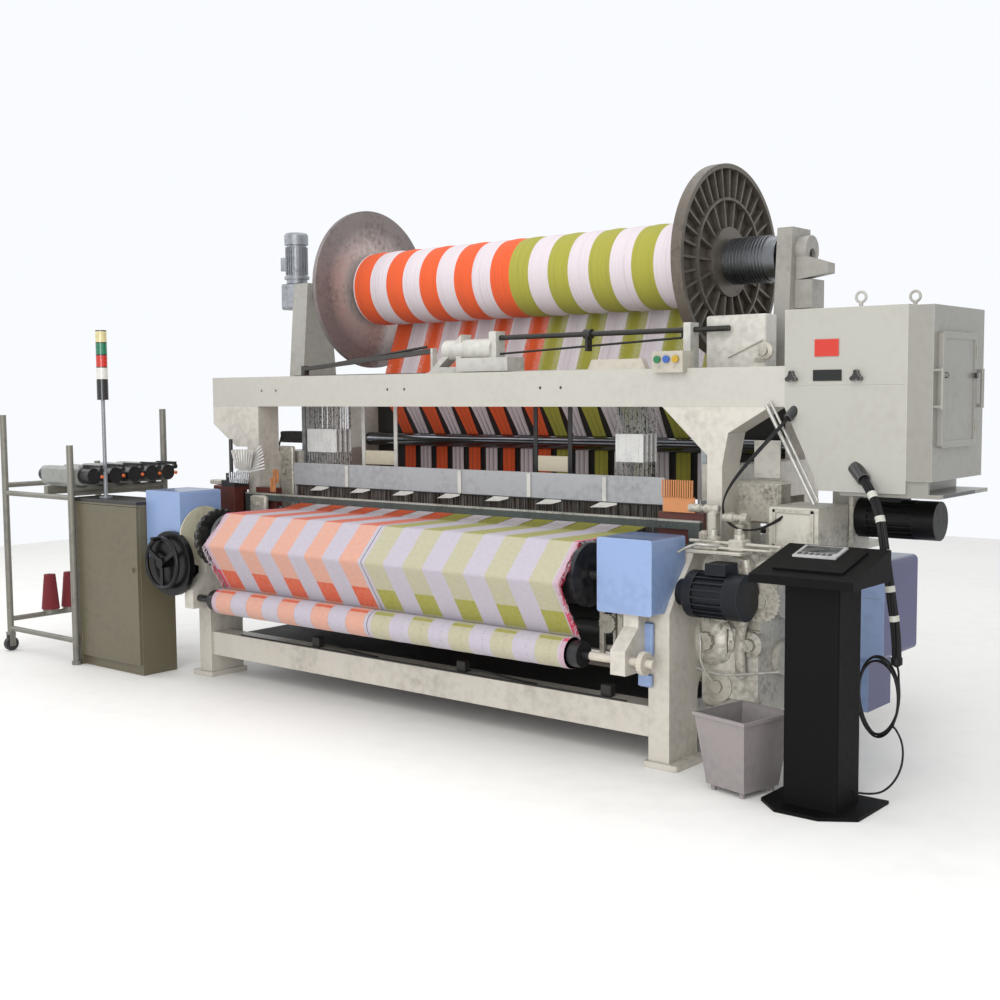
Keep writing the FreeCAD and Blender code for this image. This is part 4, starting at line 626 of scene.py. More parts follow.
def slab(low, high, cut=0.002):
    """Block with its edges cut at 45 degrees: an eight-sided outline, drawn in at its first and last rows."""
    low, high = np.array(low, float), np.array(high, float)
    cut = min(cut, 0.3 * float((high - low).min()))
    rows = []
    for inset, z in ((cut, low[2]), (0.0, low[2] + cut), (0.0, high[2] - cut), (cut, high[2])):
        x0, y0, x1, y1 = low[0] + inset, low[1] + inset, high[0] - inset, high[1] - inset
        rows.append([(x0 + cut, y0, z), (x1 - cut, y0, z), (x1, y0 + cut, z), (x1, y1 - cut, z),
                     (x1 - cut, y1, z), (x0 + cut, y1, z), (x0, y1 - cut, z), (x0, y0 + cut, z)])
    return woven(np.array(rows), closed=True, capped=True)


heald_alloy = finish("heald_alloy", "9B9FA0", 0.32, metal=0.7, grime=0.5, relief=0.05)
dress(heald_alloy, "heald_frames_odd", "heald_frames_even")


def heddle_colour(tree):
    """White heddle wires with dark eyes in rows."""
    specks = noise(tree, 1.0, 1.0, (90.0, 60.0, 60.0))
    return blended(tree, above(tree, specks, 0.60), "C1C1BE", "322F2D")


heddle_wire = finish("heddle_wire", heddle_colour, 0.4, metal=0.2, grime=0.2)
post_white = finish("post_white", "B7B5AF", 0.5, grime=0.3)
post_black = finish("post_black", "19191B", 0.4, grime=0.3, dirt="47433E")
pack_white = finish("pack_white", "CDCCC9", 0.6, grime=0.35, dirt="3C4450", scale=14.0, relief=0.3)
keeper_cream = finish("keeper_cream", "B5AC97", 0.5, grime=0.25)
STAYED = -0.330                     # depth of the front frame, whose stays show
HEDDLE_LOW, HEDDLE_HIGH, HEDDLE_STEP = 0.868, 1.662, 0.0085
for body, depths in (("healds_odd", (STAYED, -0.250)), ("healds_even", (-0.290, -0.210))):
    wires, packs, whites, blacks, creams = [], [], [], [], []
    for depth in depths:
        for low_x, high_x in ((-1.405, -1.144), (0.915, 1.085)):
            count = int((high_x - low_x) / HEDDLE_STEP)
            x = np.linspace(low_x, high_x, count)
            sway = 0.0016 * np.sin(np.arange(count) * 7.7)
            z = np.linspace(HEDDLE_LOW, HEDDLE_HIGH, 8)
            paths = np.stack(np.broadcast_arrays(x[:, None] + sway[:, None] * np.sin(z * 9)[None],
                                                 depth + 0.0028 * np.sin(np.arange(count) * 2.4)[:, None],
                                                 z[None]), -1)
            wires.append(strands(paths, 0.0011, 2.2))
            packs.append(slab((low_x, depth - 0.004, 1.325), (high_x, depth + 0.004, 1.468), 0.001))
        if depth != STAYED:
            continue
        for x, group in ((-0.911, whites), (-0.645, whites), (0.396, blacks), (0.626, blacks)):
            group.append(slab((x - 0.013, depth - 0.005, 0.866), (x + 0.013, depth + 0.005, 1.664)))
        for low_x, high_x in ((-0.895, -0.660), (0.412, 0.610)):
            creams.append(slab((low_x, depth - 0.003, 1.262), (high_x, depth + 0.003, 1.345)))
    made(body + "_heddles", wires, heddle_wire, body)
    made(body + "_packs", packs, pack_white, body)
    if whites:
        made(body + "_pale_stays", whites, post_white, body)
        made(body + "_dark_stays", blacks, post_black, body)
        made(body + "_keepers", creams, keeper_cream, body)


dark_sheet = finish("dark_sheet", "1D1C1B", 0.6, grime=0.6, dirt="3A3733", relief=0.1)
# Three dark sheets, under the loom, behind the healds and under the warp, stand in for its dark inside: partly dark
# machinery, partly painted shade.
made("dark_interior_and_shade", [slab((-1.545, -0.860, 0.225), (1.545, -0.250, 0.232)),
                    slab((-1.84, 0.440, 1.080), (1.54, 0.446, 1.620)), slab((-1.54, -0.150, 0.300),
                            (1.54, -0.144, 0.900))],
     dark_sheet)


# ---- Breast beam -----------------------------------------------------------------
# The cloth's front rail: a long casting painted dark green-grey, greasy and dusty below, with a painted highlight of
# pale grey along its top edge.

def breast_colour(tree):
    """Dark green-grey face under a pale top edge, which is a painted highlight."""
    # Painted highlight: everything above the top edge's height is pale grey.
    top = above(tree, place(tree, "Z"), 1.076)
    return blended(tree, top, settled(tree, "3B423F", "5D625C"), "9A9990")


dress(finish("breast_green", breast_colour, 0.5, metal=0.15, grime=0.7, dirt="1A1B19", scale=8.0, relief=0.2),
      "breast_beam")


# ---- Sley and reed --------------------------------------------------------------
# The swinging beater: a steel tube on three swords carries the reed, a comb of thin flat dents between a pale cap and
# a baulk. White leaf-shaped guides for the pile ends hang from a black line under the cap.
dress(worn(finish("sley_grey", "4C514F", 0.4, grime=0.6, relief=0.1), "868986"), "sley")
dress(worn(finish("reed_cap_grey", "98999B", 0.36, metal=0.25, grime=0.3, relief=0.05), "C3C5C6"), "reed")


def dent_colour(tree):
    """Steel dents, pale with dark stripes of painted shade for the gaps between them, and oil-brown patches."""
    fine = noise(tree, 1.0, 2.0, (330.0, 2.0, 4.0))
    broad = noise(tree, 1.0, 3.0, (30.0, 2.0, 6.0))
    # Painted shade: fine stripes across the reed turn the dents dark, as the gaps between them look.
    steel = blended(tree, times(tree, minus(tree, fine, 0.38), 3.0, clamp=True),
                    "312C28", "BDBAB5")
    return blended(tree, times(tree, minus(tree, broad, 0.45), 2.2, clamp=True),
                   steel, "664C3A")


REED_Y = -0.505
dent_x = np.linspace(-1.308, 1.308, 560)
dent_z = np.array([0.931, 1.034, 1.1365])
dents = np.stack(np.broadcast_arrays(dent_x[:, None], REED_Y, dent_z[None]), -1)
dent_steel = finish("dent_steel", dent_colour, 0.38, metal=0.55, grime=0.2)
made("reed_dents", [strands(dents, 0.0009, 5.0)], dent_steel, "sley_body", smooth=20)

hooks, clamps = [], []
for x in np.arange(-1.10, 1.25, 0.345):
    leaf = np.array([(x - 0.080, -0.527, 1.104), (x + 0.020, -0.527, 1.108), (x + 0.085, -0.527, 1.124),
                     (x + 0.085, -0.527, 1.135), (x - 0.010, -0.527, 1.135)])
    hooks.append(woven(np.stack([leaf, leaf + np.array((0, 0.005, 0))]), closed=True, capped=True))
for x in (-0.86, 0.02, 0.50, 0.98):
    clamps.append(slab((x - 0.012, -0.5290, 1.137), (x + 0.012, -0.5204, 1.262), 0.002))
line_path = [(x, -0.5240, 1.1335 + 0.0006 * math.sin(9 * x)) for x in np.linspace(-1.30, 1.30, 60)]
made("reed_hooks", hooks, post_white, "sley_body")
made("reed_clamps", clamps, post_white, "sley_body")
made("reed_line", [carried(line_path, ring(0.0034, 8))], post_black, "sley_body")


# ---- Cloth, take-up roller and cloth roll ----------------------------------------
# Terry web two towels wide: over the breast beam, down the take-up cover's ridge and in to the cloth roll, which is
# wrapped in more of it. Ground weave shows strong colour, pile shows pale; the selvedges trail white and red ends.

RUN_FOLD, RUN_STRONG, RUN_ROLL = 0.443, 0.842, 0.948     # distances run to the fold, the strong border and the roll
TOWEL_BAND, TOWEL_STARTS = 0.1325, (-1.235, 0.0075)
TOWEL_SEAM = -0.0175


def towel_group():
    """Towel colour from X and the distance run: bands in two towels of nine, strong before the fold and in the border,
    pale elsewhere; a dark line at the seam; pink selvedges beside the border."""
    group, start, end = shader_group("towel", [("Run", "Float", 0.0)], [("Color", "Color"), ("Strong", "Float")])
    x = place(group, "X")
    right = above(group, x, TOWEL_SEAM)
    origin = add(group, times(group, right, TOWEL_STARTS[1] - TOWEL_STARTS[0]), TOWEL_STARTS[0])
    place_in = divided(group, minus(group, x, origin), TOWEL_BAND)
    even = below(group, modulo(group, add(group, place_in, 20.0), 2.0), 1.0)
    inside = times(group, above(group, place_in, 0.0),
                   below(group, place_in, 9.0))
    coloured = times(group, even, inside)
    run = start.outputs["Run"]
    border = times(group, above(group, run, RUN_STRONG),
                   below(group, run, RUN_ROLL + 0.022))
    strong = add(group, below(group, run, RUN_FOLD), border, clamp=True)
    vivid = blended(group, right, "B84920", "89862C")
    pastel = blended(group, right, "BB8976", "9F9A80")
    hue = blended(group, strong, pastel, vivid)
    ground = blended(group, coloured, "A39CA6", hue)
    edge = above(group, absolute(group, minus(group, x, TOWEL_SEAM)), 1.2245)
    blush = times(group, edge, add(group, times(group, strong, 0.75), 0.22))
    edged = blended(group, blush, ground, "B6274A")
    seam = below(group, absolute(group, minus(group, x, TOWEL_SEAM)), 0.0026)
    joined(group, blended(group, seam, edged, "272B43"), end.inputs["Color"])
    joined(group, strong, end.inputs["Strong"])
    return group


TOWEL = towel_group()


def terry_cloth():
    """Terry: towel colours, loops as a cellular bump where the pile stands, ribs where the weave is plain."""
    material, tree, shader = blank("terry_cloth")
    uv = tree.nodes.new("ShaderNodeUVMap")
    uv.uv_map = "run"
    parts = tree.nodes.new("ShaderNodeSeparateXYZ")
    tree.links.new(uv.outputs["UV"], parts.inputs[0])
    towel = placed(tree, TOWEL, Run=parts.outputs["Y"])
    loops = tree.nodes.new("ShaderNodeTexVoronoi")
    loops.inputs["Scale"].default_value = 420.0
    tree.links.new(place(tree), loops.inputs["Vector"])
    soft = noise(tree, 60.0, 4.0)
    depth = times(tree, minus(tree, 1.0, loops.outputs["Distance"]), soft)
    fluffed = blended(tree, times(tree, minus(tree, soft, 0.35), 0.2, clamp=True),
                      towel.outputs["Color"], "D6D6D6")
    joined(tree, fluffed, shader.inputs["Base Color"])
    shader.inputs["Roughness"].default_value = 0.95
    shader.inputs["Sheen Weight"].default_value = 0.12
    joined(tree, bumped(tree, depth, 0.55, 0.003), shader.inputs["Normal"])
    return material


def run_map(piece, x, run):
    """UV map of a grid piece: u is X and v the distance run, both in metres."""
    corner = np.empty(len(piece.data.loops), int)
    piece.data.loops.foreach_get("vertex_index", corner)
    layer = piece.data.uv_layers.new(name="run")
    layer.data.foreach_set("uv", np.stack([np.ravel(x)[corner], np.ravel(run)[corner]], -1).ravel())


terry = terry_cloth()
ROLL, WRAP, WOUND = (-1.140, 0.500), 0.0745, 0.0728       # the roll's axis, the web's radius on it, its own radius
WEB_LEFT, WEB_RIGHT = -1.270, 1.235
fold, ridge = np.array((-1.0905, 1.0045)), np.array((-1.2515, 0.832))
reach = np.array(ROLL) - ridge
tangent = math.atan2(reach[1], reach[0]) + math.asin(WRAP / np.linalg.norm(reach))
touch = np.array(ROLL) + WRAP * np.array((-math.sin(tangent), math.cos(tangent)))


def eased(corners, radius, count):
    """Line through corners whose inner corners are quadratic curves that start radius before them."""
    points = [corners[:1]]
    for before, corner, after in zip(corners, corners[1:], corners[2:]):
        start = corner + (before - corner) / np.linalg.norm(before - corner) * radius
        stop = corner + (after - corner) / np.linalg.norm(after - corner) * radius
        t = np.linspace(0, 1, count)[:, None]
        points.append((1 - t) ** 2 * start + 2 * t * (1 - t) * corner + t ** 2 * stop)
    points.append(corners[-1:])
    return np.concatenate(points)


profile = spaced(eased(np.array([(-0.647, 1.0015), fold, ridge, touch]), 0.014, 5), 0.012)
run = np.concatenate([[0.0], np.cumsum(np.linalg.norm(np.diff(profile, axis=0), axis=1))])
out = np.gradient(profile, axis=0)
out = np.stack([out[:, 1], -out[:, 0]], -1)
out /= np.linalg.norm(out, axis=1, keepdims=True)
x = np.linspace(WEB_LEFT, WEB_RIGHT, 480)
slack = np.sin(math.pi * np.clip((run - RUN_FOLD) / (run[-1] - RUN_FOLD), 0, 1)) ** 2
ripple = (0.0012 + 0.0012 * np.sin(x[None] * 23 + run[:, None] * 9) + 0.0008 * np.sin(x[None] * 71 - run[:,
        None] * 17))
ripple = ripple * slack[:, None] + 0.0004 * np.sin(x[None] / TOWEL_BAND * 2 * math.pi)
x_grid = x[None] + (0.004 * np.sin(run[:, None] * 37) + 0.003 * np.sin(run[:, None] * 101)) * (
    np.exp(-(x[None] - WEB_LEFT) / 0.012) - np.exp((x[None] - WEB_RIGHT) / 0.012))
points = np.stack([x_grid, profile[:, :1] + out[:, :1] * ripple, profile[:, 1:] + out[:, 1:] * ripple], -1)
web = made("terry_web", [woven(points)], terry, smooth=180)
run_map(web, x_grid, np.broadcast_to(run[:, None], x_grid.shape))
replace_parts(web, "cloth_web")

ROLL_ROWS, ROLL_SIDES = 420, 96
x = np.linspace(WEB_LEFT, WEB_RIGHT, ROLL_ROWS)
angle = np.linspace(0, 2 * math.pi, ROLL_SIDES + 1)[:-1]
size = WOUND - 0.0008 * (1 - np.sin((x[:, None] - TOWEL_STARTS[0]) / TOWEL_BAND * math.pi) ** 2)
BLUSH_ANGLE = math.radians(108)          # the strong border shows again on top of the roll
points = np.stack([np.broadcast_to(x[:, None], (ROLL_ROWS, ROLL_SIDES)), ROLL[0] + size * np.cos(angle),
                   ROLL[1] + size * np.sin(angle)], -1)
wound = made("wound_cloth", [woven(points, closed=True, capped=True)], terry, "cloth_winder")
wrap = WOUND * ((angle - BLUSH_ANGLE) % (2 * math.pi))
run_map(wound, points[..., 0], RUN_ROLL + np.broadcast_to(wrap[None], (ROLL_ROWS, ROLL_SIDES)))

rng = np.random.default_rng(7)


def trailing_ends(count, edge_x, outward, reach_out, low, high):
    """Loose selvedge ends: each starts on the web's edge at a random run and follows a curl, outward x and down by
    sines of its own phase; low and high bound the run."""
    at = rng.uniform(low, high, count)
    start = np.stack([np.interp(at, run, profile[:, 0]), np.interp(at, run, profile[:, 1])], -1)
    t = np.linspace(0, 1, 9)[None]
    far = reach_out * rng.uniform(0.4, 1.0, (count, 1))
    phase = rng.uniform(0, 6.28, (count, 1))
    x = edge_x + outward * far * np.sin(t * 2.6) + 0.003 * np.sin(9 * t + phase)
    y = start[:, :1] - 0.004 - 0.007 * t * rng.uniform(0, 1, (count, 1)) + 0.003 * np.cos(7 * t + phase) * t
    z = start[:, 1:] - 0.040 * t * rng.uniform(0.2, 1.0, (count, 1)) + 0.004 * np.sin(11 * t + phase) * t
    return np.stack([x, y, z], -1)


red_cotton = finish("red_cotton", "B02142", 0.9, grime=0.1, relief=0.3)
white_cotton = finish("white_cotton", "C5BBC1", 0.9, grime=0.1, relief=0.3)
red_ends = [strands(trailing_ends(150, 1.233, 1, 0.018, RUN_FOLD, 0.945), 0.0009),
            strands(trailing_ends(60, -1.268, -1, 0.012, 0.80, 0.945), 0.0009)]
white_ends = [strands(trailing_ends(130, 1.233, 1, 0.015, 0.30, 0.945), 0.0009),
              strands(trailing_ends(170, -1.268, -1, 0.020, RUN_FOLD, 0.945), 0.0010)]
made("red_selvedge", red_ends, red_cotton, smooth=180)
made("white_selvedge", white_ends, white_cotton, smooth=180)


def stepped(axis, first, *steps):
    """Colour function that takes a new colour past each limit along an axis; steps are (limit, code)."""
    def colour(tree):
        along, mixed = place(tree, axis), first
        for limit, code in steps:
            mixed = blended(tree, above(tree, along, limit), mixed, code)
        return mixed
    return colour


dress(finish("roll_ends", stepped("X", "131316", (1.335, "B2AB9E")), 0.35, grime=0.35, dirt="312D28"), "cloth_roll")
dress(finish("takeup_black", "141417", 0.38, grime=0.5, dirt="4C4843"), "takeup_roller")


# ---- Rapiers, their guides and the weft fingers -----------------------------------
# Flat steel rapiers run in cast guides at both ends; a fan of thin pale blades on the left picks the weft colour.
# The guides wear rubbed brown paint, and the rocking shaft is dark bare steel.

steel_bright = finish("steel_bright", "A4A6A9", 0.25, metal=1.0, grime=0.35)
dress(steel_bright, "rapier_left", "rapier_right")
dress(worn(finish("guide_brown", "4F231D", 0.45, grime=0.4), "817468", 0.5), "rapier_guides")
dress(finish("blade_plastic", "C0C0BE", 0.4, grime=0.15), "selector_fingers")


dress(worn(finish("selector_post", stepped("Z", "4A1A12", (1.122, "19191B")), 0.45, grime=0.4), "8A7D70", 0.4),
      "weft_selector")
dress(finish("rocking_steel", "3B3A37", 0.35, metal=0.6), "control_shaft")


# ---- Drive covers, gear case and motors ---------------------------------------------
# Moulded light blue covers over the take-up drive, the selector and the main drive, with painted shade that makes
# their tops deeper blue and the main drive's end navy; a cast gear case with its control box; a finned grey take-up
# motor and a black main motor.

def cover_colour(tree):
    """Light blue with painted shade chosen by the face's normal: deeper blue on top faces, navy on the main drive's
    end.
    """
    geometry = tree.nodes.new("ShaderNodeNewGeometry")
    parts = tree.nodes.new("ShaderNodeSeparateXYZ")
    tree.links.new(geometry.outputs["True Normal"], parts.inputs[0])
    # Painted shade: faces turned up are deeper blue, and faces turned to +X past X 1.9 are navy.
    top = blended(tree, above(tree, parts.outputs["Z"], 0.5), "7A8FB4", "455B82")
    inner = above(tree, parts.outputs["X"], 0.5)
    end_shade = times(tree, inner, above(tree, place(tree, "X"), 1.9))
    return blended(tree, end_shade, top, "12175C")


cover_blue = worn(finish("cover_blue", cover_colour, 0.36, grime=0.25, dirt="3E4757", coat=0.3), "A9B4C6", 0.5)
dress(cover_blue, "drive_covers", "takeup_cover")


dress(worn(matt(finish("motor_paint", stepped("X", "0B0F16", (2.15, "080808")), 0.4, grime=0.45, dirt="1D1B19",
                       relief=0.2), 0.25), "565452", 0.3),
      "drive_motors")
dress(worn(finish("gear_case_paint", lambda tree: settled(tree, "B4B0A5", "7C766B"), 0.42, grime=0.55, scale=5.0,
                  dirt="322D28", relief=0.2), "78756D"), "drive_gearbox")


# ---- Left end: selector blades, take-up wheels and small boxes ----------------------
# Eight cupped white blades fan out over the weft fingers. A cream disc and a black toothed wheel turn with the take-up
# roller, and a red-brown box, a grille and two grey boxes stand on the deck behind them.

def turned(centre, axis, profile, sides=40, teeth=0, depth=0.0):
    """Body of revolution about one axis through centre. A profile row is (distance along the axis, radius), and the
    radius at angle a is r - depth * max(0, cos(teeth * a))."""
    a = np.arange(sides) * 2 * math.pi / sides
    axis = "XYZ".index(axis)
    points = np.zeros((len(profile), sides, 3)) + np.array(centre, float)
    for row, (along, radius) in enumerate(profile):
        r = radius - (depth * np.maximum(0, np.cos(teeth * a)) if teeth else 0)
        points[row, :, axis] += along
        points[row, :, (axis + 1) % 3] += r * np.cos(a)
        points[row, :, (axis + 2) % 3] += r * np.sin(a)
    return woven(points, closed=True, capped=True)


def rod(start, end, radius, sides=12):
    """Straight round bar with a small chamfer at each end."""
    start, end = np.array(start, float), np.array(end, float)
    step = (end - start) / np.linalg.norm(end - start) * radius * 0.3
    path = np.array([start, start + step, end - step, end])
    size = np.array([0.75, 1, 1, 0.75])[:, None, None] * ring(radius, sides)
    aside = (0, 1, 0) if abs(step[1]) < 0.8 * np.linalg.norm(step) else (0, 0, 1)
    return carried(path, size, aside=aside)


def bolts(points, axis, radius, height):
    """Hexagon heads standing on those points along an axis."""
    return [turned(point, axis, ((0, radius), (height * 0.8, radius), (height, radius * 0.8)), 6) for point in points]


def cast_colour(tree):
    """Pale grey castings, darker where oil has run."""
    return settled(tree, "AAA599", "5F594E")


cast_grey = worn(finish("cast_grey", cast_colour, 0.38, metal=0.25, grime=0.7, dirt="1C1814", scale=7.0, relief=0.3),
                 "D2CFC6", 0.8)
blades = []
for blade in range(8):
    lean = math.radians(4.6 * (blade - 3.5))
    root = np.array((-1.508 + 0.0185 * (blade - 3.5), -0.762, 1.236))
    t, u = np.linspace(0, 1, 6)[:, None], np.linspace(-1, 1, 7)[None]
    along, aside = 0.118 * t * np.ones((1, 7)), (0.0105 + 0.0055 * t) * u
    cup = 0.013 * (1 - u ** 2) * np.ones((6, 1))
    face = np.stack([root[0] + along * math.sin(lean) + aside * math.cos(lean), root[1] - 0.0015 * blade + cup,
                     root[2] + along * math.cos(lean) - aside * math.sin(lean)], -1)
    back = face[:, ::-1] + np.array((0, 0.0015, 0))
    blades.append(woven(np.concatenate([face, back], axis=1), closed=True, capped=True))
# The white blades are painted greyer, with dark patches that are partly dirt, partly painted shade between the pleats.
blade_white = finish("blade_white", "A9A7A2", 0.3, metal=0.2, grime=0.6, dirt="1F1D1B", scale=20.0)
made("selector_blades", blades, blade_white, "finger_bank", smooth=60)
fingers = [rod((-1.600 + 0.018 * n, -0.788, 1.150), (-1.612 + 0.021 * n, -0.786, 1.216), 0.0055) for n in range(10)]
made("weft_guides", fingers, steel_bright)

wheel_black = worn(finish("takeup_wheel", "131314", 0.4, grime=0.6, dirt="4A463F"), "77756F", 0.6)
WHEEL = (-1.400, -1.0396, 0.850)
made("takeup_wheel", [turned(WHEEL, "X", ((-0.010, 0.150), (-0.008, 0.172), (0.008, 0.172), (0.010, 0.150)), 144, 24,
                             0.014),
                      turned((-1.440, *WHEEL[1:]), "X", ((0.0, 0.155), (0.030, 0.155)), 96, 16,
                             0.008)], wheel_black, "takeup")
made("takeup_disc", [turned((-1.546, *WHEEL[1:]), "X", ((0.0, 0.176), (0.002, 0.178), (0.007, 0.178), (0.009,
        0.176)), 72)],
     finish("disc_cream", "A9A48F", 0.45, grime=0.6), "takeup")

red_enamel = worn(finish("red_enamel", "4A1A12", 0.45, grime=0.5), "8A7D70", 0.5)
made("left_red_box", [slab((-1.880, -0.700, 0.962), (-1.640, -0.620, 1.122), 0.006)], red_enamel)
made("left_box_screws", bolts([(-1.672, -0.620, 1.085), (-1.850, -0.620, 1.085)], "Y", 0.010, -0.084), post_white)
boxes = [slab((-1.600, -0.430, 0.962), (-1.440, -0.400, 1.362), 0.006),
         slab((-1.545, -0.690, 0.962), (-1.400, -0.655, 1.072), 0.01),
         slab((-1.960, -0.660, 1.122), (-1.810, -0.600, 1.150), 0.004)]
boxes += [slab((-1.955 + 0.018 * n, -0.664, 1.126), (-1.947 + 0.018 * n, -0.659, 1.146), 0.001) for n in range(8)]
boxes += bolts([(-1.52, -0.430, 1.20), (-1.52, -0.430, 1.32), (-1.47, -0.690, 1.02)], "Y", 0.012, -0.012)
made("left_boxes", boxes, cast_grey)
made("left_dark_box", [slab((-1.700, -0.300, 1.377), (-1.475, -0.220, 1.449), 0.006),
                       rod((-1.60, -0.42, 1.30), (-1.66, -0.32, 1.42), 0.006)],
     dark_sheet)
comb = [slab((-1.383 + 0.014 * n, -0.640, 1.150), (-1.378 + 0.014 * n, -0.632, 1.230), 0.0005) for n in range(4)]
for low_x, high_x, base in ((1.400, 1.575, 1.188), (-1.385, -1.330, 1.096)):
    comb += [slab((low_x + 0.0125 * n, -0.660, base), (low_x + 0.0125 * n + 0.006, -0.652, base + 0.082), 0.0008)
             for n in range(int((high_x - low_x) / 0.0125))]
comb.append(slab((1.402, -0.651, 1.118), (1.576, -0.645, 1.190), 0.002))
made("pile_combs", comb, finish("comb_tan", "B77A4B", 0.5, grime=0.5))


# ---- Right end: gear train, castings and the deck plates -----------------------------
# Ribbed castings, a toothed quadrant, pipes and rods fill the space between the take-up cover and the gear case. On the
# deck stand a stack of plates, a grey block with a white panel over it, a lever and the framed control box.
cast = [turned((1.722, -0.722, 0.560), "Y", ((0.0, 0.125), (-0.030, 0.120), (-0.036, 0.100), (-0.060, 0.070),
                                             (-0.064, 0.045), (-0.090, 0.040)), 36, 9, 0.006),
        turned((1.860, -0.722, 0.880), "Y", ((0.0, 0.070), (-0.050, 0.066), (-0.056, 0.040), (-0.080, 0.036))),
        turned((1.930, -0.722, 0.560), "Y", ((0.0, 0.060), (-0.044, 0.056), (-0.048, 0.030), (-0.070, 0.026))),
        turned((1.760, -0.722, 0.350), "Y", ((0.0, 0.075), (-0.030, 0.070), (-0.034, 0.030), (-0.050, 0.026))),
        slab((1.668, -0.760, 0.690), (1.850, -0.722, 0.760), 0.014), slab((1.668, -0.745, 0.440),
                (1.700, -0.722, 0.700), 0.01)]
for wide, deep, arm in (
        (0.026, 0.015, ((1.900, -0.770, 0.935), (1.925, -0.775, 0.820), (1.905, -0.780, 0.690),
                        (1.880, -0.780, 0.560),
                        (1.890, -0.770, 0.410))),
        (0.020, 0.013, ((1.700, -0.760, 0.760), (1.735, -0.790, 0.690), (1.800, -0.800, 0.655),
                        (1.850, -0.785, 0.700),
                        (1.880, -0.770, 0.790)))):
    cast.append(carried(line_of(arm), ring(1.0, 14) * (wide, deep)))
for n in range(5):
    cast.append(slab((1.690 + 0.030 * n, -0.775, 0.470 + 0.01 * n), (1.698 + 0.030 * n, -0.722, 0.668 - 0.012 * n),
                     0.002))
for x, y, z, reach, count, radius, height in ((1.722, -0.752, 0.560, 0.105, 8, 0.009, -0.010),
                                              (1.860, -0.772, 0.880, 0.052, 6, 0.007, -0.008)):
    round_hub = np.arange(count) * 2 * math.pi / count
    cast += bolts([(x + reach * math.cos(k), y, z + reach * math.sin(k)) for k in round_hub], "Y", radius, height)
for x, wide, low, high, y in ((1.275, 0.024, 0.470, 0.745, -0.975), (1.335, 0.014, 0.440, 0.690, -0.960),
                              (1.385, 0.030, 0.480, 0.690, -0.985),
                              (1.445, 0.020, 0.430, 0.690, -0.960), (1.485, 0.026, 0.520, 0.690, -0.990)):
    cast.append(slab((x - wide / 2, y, low), (x + wide / 2, y + 0.024, high), 0.004))
    cast += bolts([(x, y, low + 0.02), (x, y, high - 0.03)], "Y", 0.008, -0.008)
cast += [turned((1.310, -0.965, 0.620), "Y", ((0.0, 0.045), (-0.016, 0.045)), 96, 16, 0.006),
         turned((1.420, -0.940, 0.560), "Y", ((0.0, 0.055), (-0.030, 0.052), (-0.034, 0.020), (-0.050, 0.018))),
         rod((1.250, -0.930, 0.500), (1.540, -0.930, 0.500), 0.012), rod((1.260, -0.930, 0.700),
                 (1.340, -0.930, 0.700), 0.010)]
made("right_castings", cast, cast_grey)
quadrant = turned((1.990, -0.775, 0.765), "Y", ((0.0, 0.095), (-0.014, 0.095)), 168, 28, 0.007)
made("right_quadrant", [quadrant, turned((1.990, -0.722, 0.765), "Y", ((0.0, 0.030), (-0.080, 0.030)))], cast_grey)
pipes = [carried(line_of(points), ring(radius, 10), aside=(0, 1, 0.3)) for points, radius in (
    (((1.676, -0.790, 0.430), (1.780, -0.815, 0.418), (1.900, -0.820, 0.430), (2.096, -0.800, 0.466)), 0.006),
    (((1.680, -0.790, 0.640), (1.720, -0.830, 0.560), (1.712, -0.835, 0.460), (1.760, -0.800, 0.380)), 0.005),
    (((1.640, -0.900, 0.966), (1.700, -0.880, 1.010), (1.790, -0.860, 1.000), (1.860, -0.760, 0.990)), 0.006))]
pipes += [rod((1.922, -0.620, 1.619), (2.159, -0.620, 1.183), 0.009),
          rod((1.941, -0.620, 1.636), (2.176, -0.620, 1.200), 0.006)]
made("right_pipes", pipes, finish("pipe_grey", "A7A59E", 0.35, metal=0.4, grime=0.5))
deck = [slab((1.655, -0.860, 0.962), (1.930, -0.740, 0.978), 0.004),
        slab((1.680, -0.840, 0.978), (1.800, -0.745, 1.006), 0.005),
        slab((1.850, -0.830, 0.978), (1.925, -0.750, 1.030), 0.006), slab((1.672, -0.450, 1.067),
                (1.905, -0.330, 1.263), 0.012),
        slab((1.700, -0.440, 0.962), (1.750, -0.340, 1.067)), slab((1.830, -0.440, 0.962), (1.880, -0.340, 1.067)),
        slab((1.690, -0.735, 0.962), (1.730, -0.680, 1.140), 0.008), slab((1.800, -0.690, 0.962),
                (1.850, -0.640, 1.090), 0.008),
        slab((1.620, -0.700, 0.962), (1.665, -0.640, 1.045), 0.01),
        turned((1.581, -0.708, 1.150), "X", ((0.0, 0.012), (0.004, 0.019), (0.060, 0.019), (0.063, 0.013), (0.085,
                0.013), (0.088, 0.021), (0.150, 0.021), (0.157, 0.016))),
        turned((1.760, -0.700, 1.115), "X", ((0.0, 0.022), (0.050, 0.024), (0.054, 0.016), (0.090, 0.016), (0.094,
                0.026), (0.120, 0.026))),
        turned((1.740, -0.760, 1.030), "Z", ((-0.024, 0.032), (0.0, 0.032), (0.004, 0.018), (0.030, 0.016))),
        turned((1.888, -0.790, 1.050), "Z", ((-0.020, 0.024), (0.0, 0.024), (0.004, 0.012), (0.026, 0.010))),
        rod((1.640, -0.800, 1.012), (2.090, -0.790, 1.007), 0.008), rod((1.660, -0.830, 0.990),
                (2.060, -0.820, 0.990), 0.006)]
deck += bolts([(x, -0.450, z) for x in (1.695, 1.885) for z in (1.090, 1.240)], "Y", 0.009, -0.009)
